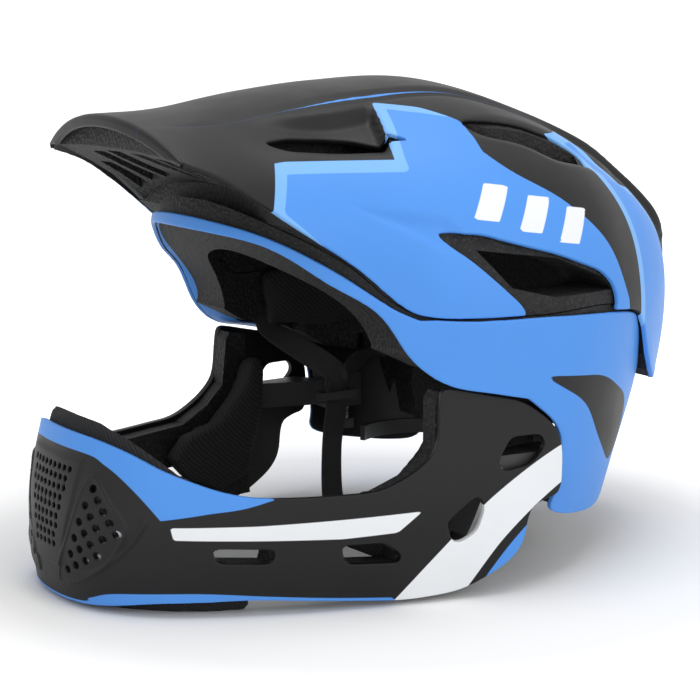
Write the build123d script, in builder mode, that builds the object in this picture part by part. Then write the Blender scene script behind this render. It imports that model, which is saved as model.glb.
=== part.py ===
from build123d import *
import os
from math import cos, radians, sin

os.makedirs("parts", exist_ok=True)

# A full face mountain bike helmet: a two-shell foam helmet with a built-in peak, and a chin bar
# that slides off to the front on two tongues.
# Millimetres. The origin is on the floor under the middle of the helmet, +Z is up, the wearer
# faces -Y and the wearer's left is +X. Outlines are shares of these three overall sizes.
length = 305.0
half_width = 105.5
height = 209.0

# Walls and clearances
skin = 2.5
chin_wall = 3.0
overrun = 12.0
fit_gap = 0.3
running_gap = 0.4
seam_gap = 0.5

# The middle of the head lies a little behind the middle of the helmet
head_y_share = 0.074
head_y = head_y_share * length


def across(share):
    return share * half_width


def along(share):
    return share * length


def up(share):
    return share * height


def side_points(shares):
    """Points of the side view, from shares of the length and the height."""
    return [(along(y), up(z)) for y, z in shares]


def top_points(shares, side=1):
    """Points of the top view, from shares of the half width and the length."""
    return [(side * across(x), along(y)) for x, y in shares]


# Crown shell and peak
# Cross sections from the peak's lip to the tail: place along the length, half width, height of
# the edge, height of the top, then how the arch leans in, rises and flattens between them.
crown_share = [
    (-0.405, 0.559, 0.883, 0.947, 0.33, 0.67, 0.33),
    (-0.293, 0.620, 0.800, 0.954, 0.20, 0.62, 0.42),
    (-0.182, 0.750, 0.672, 0.978, 0.06, 0.57, 0.51),
    (-0.064, 0.925, 0.562, 0.995, 0.00, 0.55, 0.55),
    (0.074, 0.995, 0.552, 0.997, 0.00, 0.55, 0.55),
    (0.205, 0.945, 0.541, 0.946, 0.00, 0.60, 0.58),
    (0.320, 0.790, 0.480, 0.868, 0.00, 0.70, 0.60),
    (0.402, 0.560, 0.385, 0.790, -0.30, 0.80, 0.62),
    (0.457, 0.370, 0.375, 0.738, -0.45, 0.86, 0.66),
    (0.484, 0.260, 0.385, 0.724, -0.45, 0.88, 0.68),
    (0.500, 0.130, 0.420, 0.714, -0.45, 0.88, 0.68),
]
crown_steps = 3
duct_floor_share = 0.6
lip_height = 4.5
lip_depth = 4.0
lip_corner_share = (0.62, -0.385)
lip_nose_share = -0.405
lip_share = (0.559, 0.883, 0.947)

# The edge of the crown in side view, where it meets the lower shell, and its tail
crown_edge_share = [(-0.420, 0.883), (-0.346, 0.845), (-0.293, 0.798), (-0.228, 0.727),
                    (-0.172, 0.665), (-0.120, 0.590), (-0.087, 0.569), (-0.025, 0.563),
                    (0.096, 0.560), (0.262, 0.541), (0.300, 0.500)]
crown_tail_share = [(0.318, 0.430), (0.345, 0.372), (0.600, 0.368)]

# Vents through the crown: one long side window, a front scoop and a rear top vent on each side
side_vent_share = [(-0.070, 0.727), (-0.008, 0.722), (0.044, 0.699), (0.107, 0.675),
                   (0.189, 0.632), (0.215, 0.598), (0.231, 0.500), (0.044, 0.500),
                   (0.044, 0.575), (-0.015, 0.655)]
scoop_share = [(0.430, -0.246), (0.409, -0.201), (0.422, -0.153), (0.464, -0.118), (0.525, -0.086),
               (0.594, -0.052), (0.585, -0.068), (0.569, -0.109), (0.538, -0.151), (0.491, -0.219)]
rear_vent_share = [(0.543, 0.039), (0.528, 0.082), (0.495, 0.159), (0.496, 0.230), (0.512, 0.262),
                   (0.626, 0.249), (0.682, 0.180), (0.638, 0.121), (0.615, 0.062)]


def arch_section(row, inset=0.0):
    """One cross section of the crown: two mirrored curves that stand on a straight skirt."""
    y, half, edge, top, lean, rise, flat = row
    foot = across(half) - inset
    low = up(edge)
    high = up(top) - inset
    shoulder = low + rise * (high - low)
    floor = low - overrun - inset
    cut = Plane((0, along(y), 0), x_dir=(1, 0, 0), z_dir=(0, -1, 0))
    with BuildSketch(cut) as section:
        with BuildLine():
            right = Bezier((foot, low), (foot * (1 - lean), shoulder), (foot * flat, high), (0, high))
            left = Bezier((0, high), (-foot * flat, high), (-foot * (1 - lean), shoulder), (-foot, low))
            Polyline(left @ 1, (-foot, floor), (foot, floor), right @ 0)
        make_face()
    return section.sketch


def row_slope(rows, number, column):
    """How fast one column of a table changes with its first column, near one row."""
    before = rows[max(number - 1, 0)]
    after = rows[min(number + 1, len(rows) - 1)]
    return (after[column] - before[column]) / (after[0] - before[0])


def smooth_rows(rows, steps):
    """The rows of a table with evenly spaced rows between them, on smooth cubic curves."""
    result = []
    for number in range(len(rows) - 1):
        start, end = rows[number], rows[number + 1]
        span = end[0] - start[0]
        for step in range(steps):
            t = step / steps
            row = [start[0] + t * span]
            for column in range(1, len(start)):
                leave = row_slope(rows, number, column) * span
                arrive = row_slope(rows, number + 1, column) * span
                row.append((2 * t**3 - 3 * t**2 + 1) * start[column] + (t**3 - 2 * t**2 + t) * leave
                           + (3 * t**2 - 2 * t**3) * end[column] + (t**3 - t**2) * arrive)
            result.append(tuple(row))
    return result + [rows[-1]]


def arch_solid(inset=0.0, first=0, rear_rows=0):
    """The solid through the crown's cross sections, inset by a wall."""
    rows = smooth_rows(crown_share, crown_steps)
    rows = rows[first * crown_steps:len(rows) - rear_rows * crown_steps]
    return loft([arch_section(row, inset) for row in rows], ruled=True, mode=Mode.PRIVATE)


def side_area(shares):
    """A straight-sided area of the side view."""
    with BuildSketch(Plane.YZ) as area:
        with BuildLine():
            Polyline(*side_points(shares), close=True)
        make_face()
    return area.sketch


def top_areas(shares, level=0.0):
    """A straight-sided area of the top view and its mirror image."""
    with BuildSketch(Plane.XY.offset(level)) as areas:
        for side in (1, -1):
            with BuildLine():
                Polyline(*top_points(shares, side), close=True)
            make_face()
    return areas.sketch


def below_crown_edge(gap=0.0):
    """The side view area under the crown's lower edge, moved by a gap."""
    edge = [(y, z + gap) for y, z in side_points(crown_edge_share)]
    tail = [(y, z + gap) for y, z in side_points(crown_tail_share)]
    with BuildSketch(Plane.YZ) as area:
        with BuildLine():
            seam = Spline(*edge)
            Polyline(seam @ 1, *tail, (length, -overrun), (-length, -overrun),
                     (-length, edge[0][1]), seam @ 0)
        make_face()
    return area.sketch


def fascia_section():
    """The lip's front face: the first cross section over an arch that is open below."""
    half, low, top = lip_share
    side = across(half)
    face_plane = Plane((0, along(lip_nose_share), 0), x_dir=(1, 0, 0), z_dir=(0, -1, 0))
    with BuildSketch(face_plane) as open_area:
        with BuildLine():
            under = ThreePointArc((-side, up(low) - lip_height), (0, up(top) - lip_height),
                                  (side, up(low) - lip_height))
            Polyline(under @ 1, (side, 0), (-side, 0), under @ 0)
        make_face()
    return arch_section(crown_share[0]) - open_area.sketch


def lip_front_area():
    """What the bowed front edge of the lip leaves away, seen from above."""
    corner_x = across(lip_corner_share[0])
    corner_y = along(lip_corner_share[1])
    with BuildSketch(Plane.XY) as area:
        with BuildLine():
            bow = ThreePointArc((-corner_x, corner_y), (0, along(lip_nose_share)), (corner_x, corner_y))
            Polyline(bow @ 1, (corner_x, -length), (-corner_x, -length), bow @ 0)
        make_face()
    return area.sketch


with BuildPart() as crown_shell:
    add(arch_solid())
    add(arch_solid(skin, rear_rows=1), mode=Mode.SUBTRACT)
    extrude(fascia_section(), amount=-lip_depth)
    extrude(lip_front_area(), amount=height + overrun, mode=Mode.SUBTRACT)
    extrude(below_crown_edge(), amount=half_width + overrun, both=True, mode=Mode.SUBTRACT)
    extrude(side_area(side_vent_share), amount=half_width + overrun, both=True, mode=Mode.SUBTRACT)
    extrude(top_areas(scoop_share, up(duct_floor_share)), amount=height, mode=Mode.SUBTRACT)
    extrude(top_areas(rear_vent_share, up(duct_floor_share)), amount=height, mode=Mode.SUBTRACT)

# Lower shell
# Level sections: height, half width, reach ahead of the head's middle, reach behind it
shell_share = [
    (0.100, 0.895, 0.341, 0.282),
    (0.215, 0.948, 0.354, 0.305),
    (0.360, 0.986, 0.367, 0.344),
    (0.480, 0.998, 0.374, 0.367),
    (0.600, 1.000, 0.377, 0.374),
    (0.720, 0.967, 0.370, 0.370),
    (0.775, 0.920, 0.360, 0.360),
]
# The face port's edge from the brow down to the chin bar, then the ear flap and the nape
port_share = [(-0.313, 0.725), (-0.254, 0.698), (-0.201, 0.633), (-0.150, 0.576), (-0.110, 0.485),
              (-0.064, 0.435), (0.000, 0.413), (0.051, 0.397)]
flap_share = [(0.100, 0.344), (0.116, 0.300), (0.116, 0.200), (0.106, 0.153), (0.146, 0.134),
              (0.221, 0.120), (0.264, 0.124), (0.284, 0.163), (0.320, 0.201), (0.369, 0.230),
              (0.600, 0.240)]
brow_top_share = [(-0.313, 0.762), (-0.254, 0.724), (-0.198, 0.668), (-0.137, 0.596),
                  (-0.103, 0.569)]


def level_section(row, inset=0.0, lift=0.0):
    """One level section: four quarter ellipses round the head's middle."""
    level, half, ahead, behind = row
    wide = across(half) - inset
    front = along(ahead) - inset
    back = along(behind) - inset
    with BuildSketch(Plane.XY.offset(up(level) + lift)) as section:
        with BuildLine():
            EllipticalCenterArc((0, head_y), wide, back, start_angle=0, arc_size=90)
            EllipticalCenterArc((0, head_y), wide, back, start_angle=90, arc_size=90)
            EllipticalCenterArc((0, head_y), wide, front, start_angle=180, arc_size=90)
            EllipticalCenterArc((0, head_y), wide, front, start_angle=270, arc_size=90)
        make_face()
    return section.sketch


def shell_area(top_gap=0.0, bottom_gap=0.0):
    """The lower shell's side view between the face port's edge and the crown's edge."""
    port = [(y, z + bottom_gap) for y, z in side_points(port_share)]
    flap = [(y, z + bottom_gap) for y, z in side_points(flap_share)]
    edge = [(y, z - top_gap) for y, z in side_points(crown_edge_share[6:])]
    tail = [(y, z - top_gap) for y, z in side_points(crown_tail_share)]
    brow = [(y, z - top_gap) for y, z in side_points(brow_top_share)]
    with BuildSketch(Plane.YZ) as area:
        with BuildLine():
            port_edge = Spline(*port)
            seam = Spline(*edge)
            brow_edge = Spline(*brow)
            Polyline(port_edge @ 1, *flap, tail[2], *reversed(tail[:2]), seam @ 1)
            Line(seam @ 0, brow_edge @ 1)
            Polyline(brow_edge @ 0, (-length, brow[0][1]), (-length, port[0][1]), port_edge @ 0)
        make_face()
    return area.sketch


with BuildPart() as lower_shell:
    loft([level_section(row) for row in shell_share])
    loft([level_section(row, skin) for row in shell_share], mode=Mode.SUBTRACT)
    extrude(shell_area(seam_gap), amount=half_width + overrun, both=True, mode=Mode.INTERSECT)

# Latches: a tongue behind each end of the chin bar runs in a socket inside the ear flap
tongue_thick = 4.0
tongue_low = 47.0
tongue_high = 59.0
tongue_inner_x = 84.0
tongue_tip_y = 51.0
tongue_neck_y = 33.0
tongue_root_front_y = -4.0
tongue_root_front_x = 96.4
tongue_root_back_x = 99.2
tongue_root_back_y = 26.0
notch_y = 42.0
notch_wide = 6.0
notch_deep = 5.0
socket_wall = 2.2
socket_front_y = 35.5
socket_back_y = 54.5
socket_outer_x = 96.3
socket_outer_back_x = 90.9
rivet_radius = 1.6
rivet_long = 6.0
rivet_spots = [(97.6, 6.0), (99.6, 20.0)]
rivet_z = (tongue_low + tongue_high) / 2

# Chin bar
# Plan of its outer face from the nose to the rear end, then how the levels shrink and lean back
chin_plan_share = [(0.000, -0.500), (0.265, -0.484), (0.493, -0.425), (0.664, -0.326),
                   (0.806, -0.205), (0.910, -0.074), (0.976, 0.074), (0.970, 0.150)]
chin_level_share = [(0.000, 0.920, 0.014), (0.100, 0.972, 0.000), (0.215, 1.000, 0.003),
                    (0.360, 1.000, 0.026), (0.480, 1.000, 0.046)]
chin_top_share = [(-0.600, 0.345), (-0.477, 0.345), (-0.444, 0.321), (-0.411, 0.287),
                  (-0.352, 0.249), (-0.310, 0.235), (-0.251, 0.233), (-0.156, 0.235),
                  (-0.107, 0.268), (-0.075, 0.310), (-0.071, 0.414)]
chin_rear_share = [(-0.064, 0.430), (0.000, 0.408), (0.051, 0.392), (0.098, 0.340),
                   (0.112, 0.298), (0.112, 0.196)]
chin_bottom_share = [(0.080, 0.187), (0.061, 0.172), (0.054, 0.100), (0.031, 0.062),
                     (-0.021, 0.024), (-0.057, 0.014), (-0.116, 0.010), (-0.310, 0.033),
                     (-0.425, 0.029), (-0.487, 0.008), (-0.600, 0.008)]
chin_vents_share = [
    [(0.011, 0.273), (0.031, 0.321), (0.077, 0.321), (0.084, 0.297), (0.061, 0.263), (0.021, 0.254)],
    [(-0.064, 0.163), (-0.031, 0.201), (-0.018, 0.211), (-0.008, 0.187), (-0.018, 0.139),
     (-0.041, 0.120), (-0.054, 0.124)],
    [(-0.205, 0.134), (-0.149, 0.134), (-0.126, 0.110), (-0.126, 0.091), (-0.198, 0.096)],
    [(-0.362, 0.139), (-0.287, 0.134), (-0.290, 0.105), (-0.356, 0.110)],
]
# Breathing holes: a fan of small ones in the middle, a patch of larger ones each side of it
nose_hole = 2.4
nose_hole_pitch = 4.4
nose_hole_rows = 10
cheek_hole = 3.4
cheek_hole_pitch = 6.6
cheek_hole_rows = 6
nose_low_share = 0.085
nose_slope_share = 0.9
nose_reach_share = 0.7


def chin_points(inset, shrink, back):
    """Half the chin bar's plan, drawn towards its middle by a wall."""
    reach = -along(chin_plan_share[0][1])
    wide = half_width - inset
    deep = (reach - inset) / reach
    return [(x * wide * shrink, y * length * deep + along(back)) for x, y in chin_plan_share]


def chin_section(row, inset=0.0):
    """One level section of the chin bar: a smooth horseshoe closed straight at the rear."""
    level, shrink, back = row
    left = chin_points(inset, shrink, back)
    right = [(-x, y) for x, y in left[:0:-1]]
    with BuildSketch(Plane.XY.offset(up(level))) as section:
        with BuildLine():
            bow = Spline(*right, *left)
            Line(bow @ 1, bow @ 0)
        make_face()
    return section.sketch


def chin_area(top_drop=0.0, bottom_rise=0.0):
    """The chin bar's side view."""
    top = [(y, z - top_drop) for y, z in side_points(chin_top_share)]
    rear = [(y, z - top_drop) for y, z in side_points(chin_rear_share)]
    bottom = [(y, z + bottom_rise) for y, z in side_points(chin_bottom_share)]
    with BuildSketch(Plane.YZ) as area:
        with BuildLine():
            Polyline(*top, *rear, *bottom, close=True)
        make_face()
    return area.sketch


def chin_tube(inset):
    return loft([chin_section(row, inset) for row in chin_level_share], mode=Mode.PRIVATE)


def nose_holes():
    """Rows of small holes that narrow downwards, seen from the front."""
    rows = range(nose_hole_rows)
    spots = []
    for row in rows:
        level = up(nose_low_share) + row * nose_hole_pitch
        count = 1 + row // 2
        first = -(count - 1) * nose_hole_pitch / 2
        spots += [(first + place * nose_hole_pitch, level) for place in range(count)]
    return spots


def cheek_holes(side):
    """Rows of larger holes that fill the slanting field beside the middle ones."""
    spots = []
    for row in range(cheek_hole_rows):
        level = up(nose_low_share) + row * cheek_hole_pitch
        inner = 2 * nose_hole_pitch + row * nose_hole_pitch * nose_slope_share
        count = cheek_hole_rows - 1 - row // 2
        spots += [(side * (inner + place * cheek_hole_pitch), level) for place in range(count)]
    return spots


with BuildPart() as chin_shell:
    add(chin_tube(0.0))
    add(chin_tube(chin_wall), mode=Mode.SUBTRACT)
    extrude(chin_area(), amount=half_width + overrun, both=True, mode=Mode.INTERSECT)
    for vent in chin_vents_share:
        extrude(side_area(vent), amount=half_width + overrun, both=True, mode=Mode.SUBTRACT)
    with BuildSketch(Plane((0, -length, 0), x_dir=(1, 0, 0), z_dir=(0, -1, 0))) as small_holes:
        with Locations(*nose_holes()):
            Circle(nose_hole / 2)
        with Locations(*cheek_holes(1), *cheek_holes(-1)):
            Circle(cheek_hole / 2)
    extrude(amount=-along(nose_reach_share), mode=Mode.SUBTRACT)
    for side in (1, -1):
        for rivet_tip, rivet_y in rivet_spots:
            with Locations((side * (rivet_tip - rivet_long / 2), rivet_y, rivet_z)):
                Cylinder(rivet_radius + fit_gap, rivet_long + 2 * fit_gap, rotation=(0, 90, 0),
                         mode=Mode.SUBTRACT)

chin_shell.part.label = "chin_shell"
export_step(chin_shell.part, "parts/chin_shell.step")

crown_shell.part.label = "crown_shell"
export_step(crown_shell.part, "parts/crown_shell.step")
lower_shell.part.label = "lower_shell"
export_step(lower_shell.part, "parts/lower_shell.step")

# Head space inside the foam
# Level sections: height, half width, reach ahead of the head's middle, reach behind it
head_share = [
    (-0.10, 0.730, 0.330, 0.235),
    (0.215, 0.730, 0.325, 0.255),
    (0.380, 0.725, 0.315, 0.288),
    (0.550, 0.720, 0.305, 0.300),
    (0.670, 0.674, 0.285, 0.281),
    (0.766, 0.556, 0.235, 0.232),
    (0.837, 0.389, 0.165, 0.162),
    (0.880, 0.190, 0.080, 0.080),
]
head_steps = 3
foam_front_share = -0.240
hanger_rivet_x = 5.0
hanger_rivet_z = 88.0
hanger_rivet_radius = 2.0
hanger_rivet_low_y = 109.0
hanger_rivet_high_y = 121.0
anchor_spots = [(85.0, 4.0, 97.0), (80.0, 61.0, 80.0)]
anchor_slot_reach = 16.0
anchor_slot_long = 28.0
anchor_size = (4.0, 15.0, 4.0)
strap_wide = 12.0
strap_thick = 1.4
foam_rim = 3.0
foam_cheek_share = [(-0.110, 0.490), (-0.064, 0.455), (0.000, 0.433), (0.051, 0.415), (0.100, 0.370),
                    (0.225, 0.340), (0.240, 0.190), (0.290, 0.200), (0.325, 0.225), (0.375, 0.250),
                    (0.600, 0.260)]
window_share = [(-0.015, 0.690), (0.110, 0.665), (0.190, 0.620), (0.215, 0.590), (0.100, 0.590),
                (0.030, 0.615)]
scoop_duct_share = [(0.428, -0.200), (0.440, -0.155), (0.478, -0.128), (0.530, -0.098), (0.575, -0.074),
                    (0.560, -0.108), (0.530, -0.150), (0.487, -0.200)]
scoop_pocket_share = [(0.265, -0.262), (0.285, -0.236), (0.322, -0.167), (0.351, -0.108), (0.351, -0.054),
                      (0.664, -0.084), (0.588, -0.164), (0.512, -0.236), (0.493, -0.262)]
pocket_floor_share = 0.835
rear_duct_share = [(0.500, 0.050), (0.538, 0.055), (0.600, 0.078), (0.625, 0.125), (0.660, 0.180),
                   (0.605, 0.235), (0.525, 0.248), (0.508, 0.225), (0.508, 0.160), (0.535, 0.090)]


def head_space(grow=0.0):
    """The room for the head, grown or shrunk all round and over the top."""
    rows = smooth_rows(head_share, head_steps)
    sections = [level_section(row, -grow, grow * row[0]) for row in rows]
    return loft(sections, ruled=True, mode=Mode.PRIVATE)


def span_box(low, high):
    """A rectangle of the side view between two corners, given as lengths."""
    with BuildSketch(Plane.YZ) as area:
        with BuildLine():
            Polyline((low[0], low[1]), (high[0], low[1]), (high[0], high[1]), (low[0], high[1]), close=True)
        make_face()
    return area.sketch


foam_front = along(foam_front_share)
duct_floor = up(duct_floor_share)

with BuildPart() as upper_foam:
    add(arch_solid(skin + fit_gap, first=1, rear_rows=1))
    extrude(span_box((-length, 0), (foam_front, 2 * height)), amount=2 * half_width, both=True,
            mode=Mode.SUBTRACT)
    extrude(below_crown_edge(), amount=2 * half_width, both=True, mode=Mode.SUBTRACT)
    add(head_space(), mode=Mode.SUBTRACT)
    extrude(side_area(window_share), amount=2 * half_width, both=True, mode=Mode.SUBTRACT)
    extrude(top_areas(scoop_duct_share, duct_floor), amount=height, mode=Mode.SUBTRACT)
    extrude(top_areas(scoop_pocket_share, up(pocket_floor_share)), amount=height, mode=Mode.SUBTRACT)
    extrude(top_areas(rear_duct_share, duct_floor), amount=height, mode=Mode.SUBTRACT)
    with BuildSketch(Plane.XZ.offset(-hanger_rivet_low_y)):
        with Locations((hanger_rivet_x, hanger_rivet_z), (-hanger_rivet_x, hanger_rivet_z)):
            Circle(hanger_rivet_radius + fit_gap)
    extrude(amount=-(hanger_rivet_high_y - hanger_rivet_low_y + fit_gap), mode=Mode.SUBTRACT)

upper_foam.part.label = "upper_foam"
export_step(upper_foam.part, "parts/upper_foam.step")


def lower_foam_area():
    """The lower foam's side view: inside the lower shell's edges, cut short over the ear."""
    port = [(y, z + foam_rim) for y, z in side_points(port_share[:5])]
    cheek = side_points(foam_cheek_share)
    edge = [(y, z - seam_gap) for y, z in side_points(crown_edge_share)]
    tail = [(y, z - seam_gap) for y, z in side_points(crown_tail_share)]
    with BuildSketch(Plane.YZ) as area:
        with BuildLine():
            port_edge = Spline(*port)
            seam = Spline(*edge)
            Polyline(port_edge @ 1, *cheek, tail[2], *reversed(tail[:2]), seam @ 1)
            Polyline(seam @ 0, (-length, edge[0][1]), (-length, port[0][1]), port_edge @ 0)
        make_face()
    return area.sketch


with BuildPart() as lower_foam:
    loft([level_section(row, skin + fit_gap) for row in shell_share])
    extrude(lower_foam_area(), amount=2 * half_width, both=True, mode=Mode.INTERSECT)
    add(head_space(), mode=Mode.SUBTRACT)
    for anchor_x, anchor_y, anchor_z in anchor_spots:
        slot_high = anchor_z + anchor_size[2] / 2 + fit_gap
        for side in (1, -1):
            with Locations((side * (anchor_x - anchor_slot_reach / 2), anchor_y, slot_high / 2)):
                Box(anchor_size[0] + 2 * fit_gap + anchor_slot_reach, anchor_slot_long, slot_high,
                    mode=Mode.SUBTRACT)

lower_foam.part.label = "lower_foam"
export_step(lower_foam.part, "parts/lower_foam.step")

# Foam under the peak, with three air pockets on each side of a middle rib
peak_drop_front = 8.0
peak_drop_back = 31.0
peak_foam_gap = 1.2
peak_foam_side = 5.0
peak_pocket_share = [(0.040, 0.165, 0.895), (0.215, 0.325, 0.868), (0.375, 0.455, 0.835)]
peak_pocket_span_share = [(-0.372, -0.268), (-0.366, -0.262), (-0.352, -0.256)]
peak_pocket_splay_share = 0.070


def peak_section(row):
    """A cross section of the peak's foam: a thick arch under the crown's arch."""
    y, half, edge, top, lean, rise, flat = row
    foot = across(half) - skin - peak_foam_gap
    toe = foot - peak_foam_side
    low = up(edge) + fit_gap
    high = up(top) - skin - peak_foam_gap
    deep = (y - lip_nose_share) / (foam_front_share - lip_nose_share)
    under = high - peak_drop_front - deep * (peak_drop_back - peak_drop_front)
    shoulder = low + rise * (high - low)
    armpit = low + rise * (under - low)
    with BuildSketch(Plane((0, along(y), 0), x_dir=(1, 0, 0), z_dir=(0, -1, 0))) as section:
        with BuildLine():
            right = Bezier((foot, low), (foot * (1 - lean), shoulder), (foot * flat, high), (0, high))
            left = Bezier((0, high), (-foot * flat, high), (-foot * (1 - lean), shoulder), (-foot, low))
            inner_left = Bezier((-toe, low), (-toe * (1 - lean), armpit), (-toe * flat, under), (0, under))
            inner_right = Bezier((0, under), (toe * flat, under), (toe * (1 - lean), armpit), (toe, low))
            Line(left @ 1, inner_left @ 0)
            Line(inner_right @ 1, right @ 0)
        make_face()
    return section.sketch


def peak_pocket(wide_share, span_share):
    """One air channel and its mirror image in the underside, between ribs that splay to the rear."""
    inner, outer = across(wide_share[0]), across(wide_share[1])
    front, back = along(span_share[0]), along(span_share[1])
    splay = across(peak_pocket_splay_share)
    with BuildSketch(Plane.XY) as pockets:
        for side in (1, -1):
            with BuildLine():
                Polyline((side * inner, front), (side * outer, front), (side * (outer + splay), back),
                         (side * (inner + splay), back), close=True)
            make_face()
    return pockets.sketch


with BuildPart() as peak_foam:
    peak_rows = smooth_rows(crown_share, crown_steps)[:3 * crown_steps + 1]
    loft([peak_section(row) for row in peak_rows], ruled=True)
    peak_foam_back = foam_front - fit_gap
    peak_foam_nose = along(lip_nose_share) + lip_depth + peak_foam_gap
    extrude(span_box((peak_foam_back, 0), (length, 2 * height)), amount=2 * half_width, both=True,
            mode=Mode.SUBTRACT)
    extrude(span_box((-length, 0), (peak_foam_nose, 2 * height)), amount=2 * half_width, both=True,
            mode=Mode.SUBTRACT)
    for (inner_share, outer_share, roof_share), span_share in zip(peak_pocket_share, peak_pocket_span_share):
        extrude(peak_pocket((inner_share, outer_share), span_share), amount=up(roof_share), mode=Mode.SUBTRACT)

peak_foam.part.label = "peak_foam"
export_step(peak_foam.part, "parts/peak_foam.step")

# Comfort pads, each a slice of a cup that lines the head space
pad_thick = 6.0
pad_gap = 0.6
brow_pad_share = [(-0.60, 0.665), (-0.60, 0.745), (-0.09, 0.745), (-0.09, 0.665)]
crown_pad_share = [(0.12, 0.06), (-0.12, 0.06), (-0.12, 0.12), (0.12, 0.12)]
crown_pad_wide_share = 0.17
crown_pad_span_share = (-0.060, 0.200)
pad_side_share = 0.44
side_pad_share = [(-0.020, 0.440), (-0.035, 0.560), (0.045, 0.575), (0.140, 0.575), (0.205, 0.555),
                  (0.190, 0.440), (0.085, 0.420)]


with BuildPart() as brow_pad:
    add(head_space(-pad_gap))
    add(head_space(-pad_gap - pad_thick), mode=Mode.SUBTRACT)
    extrude(side_area(brow_pad_share), amount=across(pad_side_share), both=True, mode=Mode.INTERSECT)

brow_pad.part.label = "brow_pad"
export_step(brow_pad.part, "parts/brow_pad.step")

with BuildPart() as crown_pad:
    add(head_space(-pad_gap))
    add(head_space(-pad_gap - pad_thick), mode=Mode.SUBTRACT)
    with BuildSketch(Plane.XY.offset(duct_floor)):
        with Locations((0, (along(crown_pad_span_share[0]) + along(crown_pad_span_share[1])) / 2)):
            SlotOverall(along(crown_pad_span_share[1] - crown_pad_span_share[0]),
                        2 * across(crown_pad_wide_share), rotation=90)
    extrude(amount=height, mode=Mode.INTERSECT)

crown_pad.part.label = "crown_pad"
export_step(crown_pad.part, "parts/crown_pad.step")

with BuildPart() as side_pad_left:
    add(head_space(-pad_gap))
    add(head_space(-pad_gap - pad_thick), mode=Mode.SUBTRACT)
    extrude(side_area(side_pad_share), amount=half_width, mode=Mode.INTERSECT)

side_pad_left.part.label = "side_pad_left"
export_step(side_pad_left.part, "parts/side_pad_left.step")

side_pad_right = mirror(side_pad_left.part, about=Plane.YZ)
side_pad_right.label = "side_pad_right"
export_step(side_pad_right, "parts/side_pad_right.step")

# Chin bar lining, cheek pads and rim pads
liner_thick = 9.0
liner_inset = chin_wall + fit_gap
liner_rear_share = -0.030
liner_window_rear_share = -0.40
seat_rear_share = -0.365
liner_drop = 2.5
liner_window_share = 0.42
liner_window_levels_share = (0.075, 0.235)
mouth_pad_thick = 7.0
seat_gap = 0.8
mouth_pad_low_share = [(-0.60, 0.300), (-0.477, 0.300), (-0.444, 0.276), (-0.411, 0.248), (-0.385, 0.232)]
mouth_pad_high_share = [(-0.372, 0.262), (-0.400, 0.300), (-0.425, 0.335), (-0.450, 0.365),
                        (-0.480, 0.378), (-0.60, 0.378)]
rim_pad_inset = 5.0
rim_pad_thick = 9.0
rim_pad_top = 8.0
rim_pad_rear_share = -0.300
rim_pad_lift = 1.2

with BuildPart() as chin_liner:
    add(chin_tube(liner_inset))
    add(chin_tube(liner_inset + liner_thick), mode=Mode.SUBTRACT)
    extrude(chin_area(liner_drop, liner_drop), amount=2 * half_width, both=True, mode=Mode.INTERSECT)
    extrude(span_box((along(liner_rear_share), -height), (length, height)), amount=2 * half_width,
            both=True, mode=Mode.SUBTRACT)
    window_low, window_high = [up(share) for share in liner_window_levels_share]
    window_reach = across(liner_window_share)
    extrude(span_box((-length, window_low), (along(liner_window_rear_share), window_high)), amount=window_reach, both=True,
            mode=Mode.SUBTRACT)
    extrude(span_box((-length, -height), (length, rim_pad_top + fit_gap)), amount=2 * half_width,
            both=True, mode=Mode.SUBTRACT)
    for vent in chin_vents_share[1:]:
        extrude(side_area(vent), amount=2 * half_width, both=True, mode=Mode.SUBTRACT)
    with BuildSketch(Plane.YZ):
        with BuildLine():
            pad_seat = side_points(mouth_pad_low_share)
            Polyline(*[(y, z - seat_gap) for y, z in pad_seat],
                     (along(seat_rear_share), pad_seat[-1][1] - seat_gap), (along(seat_rear_share), height),
                     (-2 * length, height), close=True)
        make_face()
    extrude(amount=2 * half_width, both=True, mode=Mode.SUBTRACT)

chin_liner.part.label = "chin_liner"
export_step(chin_liner.part, "parts/chin_liner.step")

with BuildPart() as mouth_pad:
    add(chin_tube(liner_inset + pad_gap))
    add(chin_tube(liner_inset + pad_gap + mouth_pad_thick), mode=Mode.SUBTRACT)
    with BuildSketch(Plane.YZ):
        with BuildLine():
            Polyline(*side_points(mouth_pad_low_share), *side_points(mouth_pad_high_share), close=True)
        make_face()
    extrude(amount=2 * half_width, both=True, mode=Mode.INTERSECT)

mouth_pad.part.label = "mouth_pad"
export_step(mouth_pad.part, "parts/mouth_pad.step")

with BuildPart() as chin_rim_pad:
    add(chin_tube(rim_pad_inset))
    add(chin_tube(rim_pad_inset + rim_pad_thick), mode=Mode.SUBTRACT)
    extrude(span_box((-length, 0), (along(rim_pad_rear_share), rim_pad_top)), amount=2 * half_width,
            both=True, mode=Mode.INTERSECT)

chin_rim_pad.part.label = "chin_rim_pad"
export_step(chin_rim_pad.part, "parts/chin_rim_pad.step")

# Cheek pads lie inside the rear half of the chin bar
cheek_pad_inset = liner_inset + liner_thick + pad_gap
cheek_pad_thick = 13.0
cheek_pad_share = [(-0.170, 0.110), (-0.200, 0.160), (-0.170, 0.205), (-0.110, 0.225), (-0.060, 0.290),
                   (-0.040, 0.360), (-0.015, 0.360), (-0.010, 0.330), (-0.020, 0.200), (-0.050, 0.090),
                   (-0.110, 0.070)]

with BuildPart() as cheek_pad_left:
    add(chin_tube(cheek_pad_inset))
    add(chin_tube(cheek_pad_inset + cheek_pad_thick), mode=Mode.SUBTRACT)
    extrude(side_area(cheek_pad_share), amount=2 * half_width, mode=Mode.INTERSECT)

cheek_pad_left.part.label = "cheek_pad_left"
export_step(cheek_pad_left.part, "parts/cheek_pad_left.step")

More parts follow.
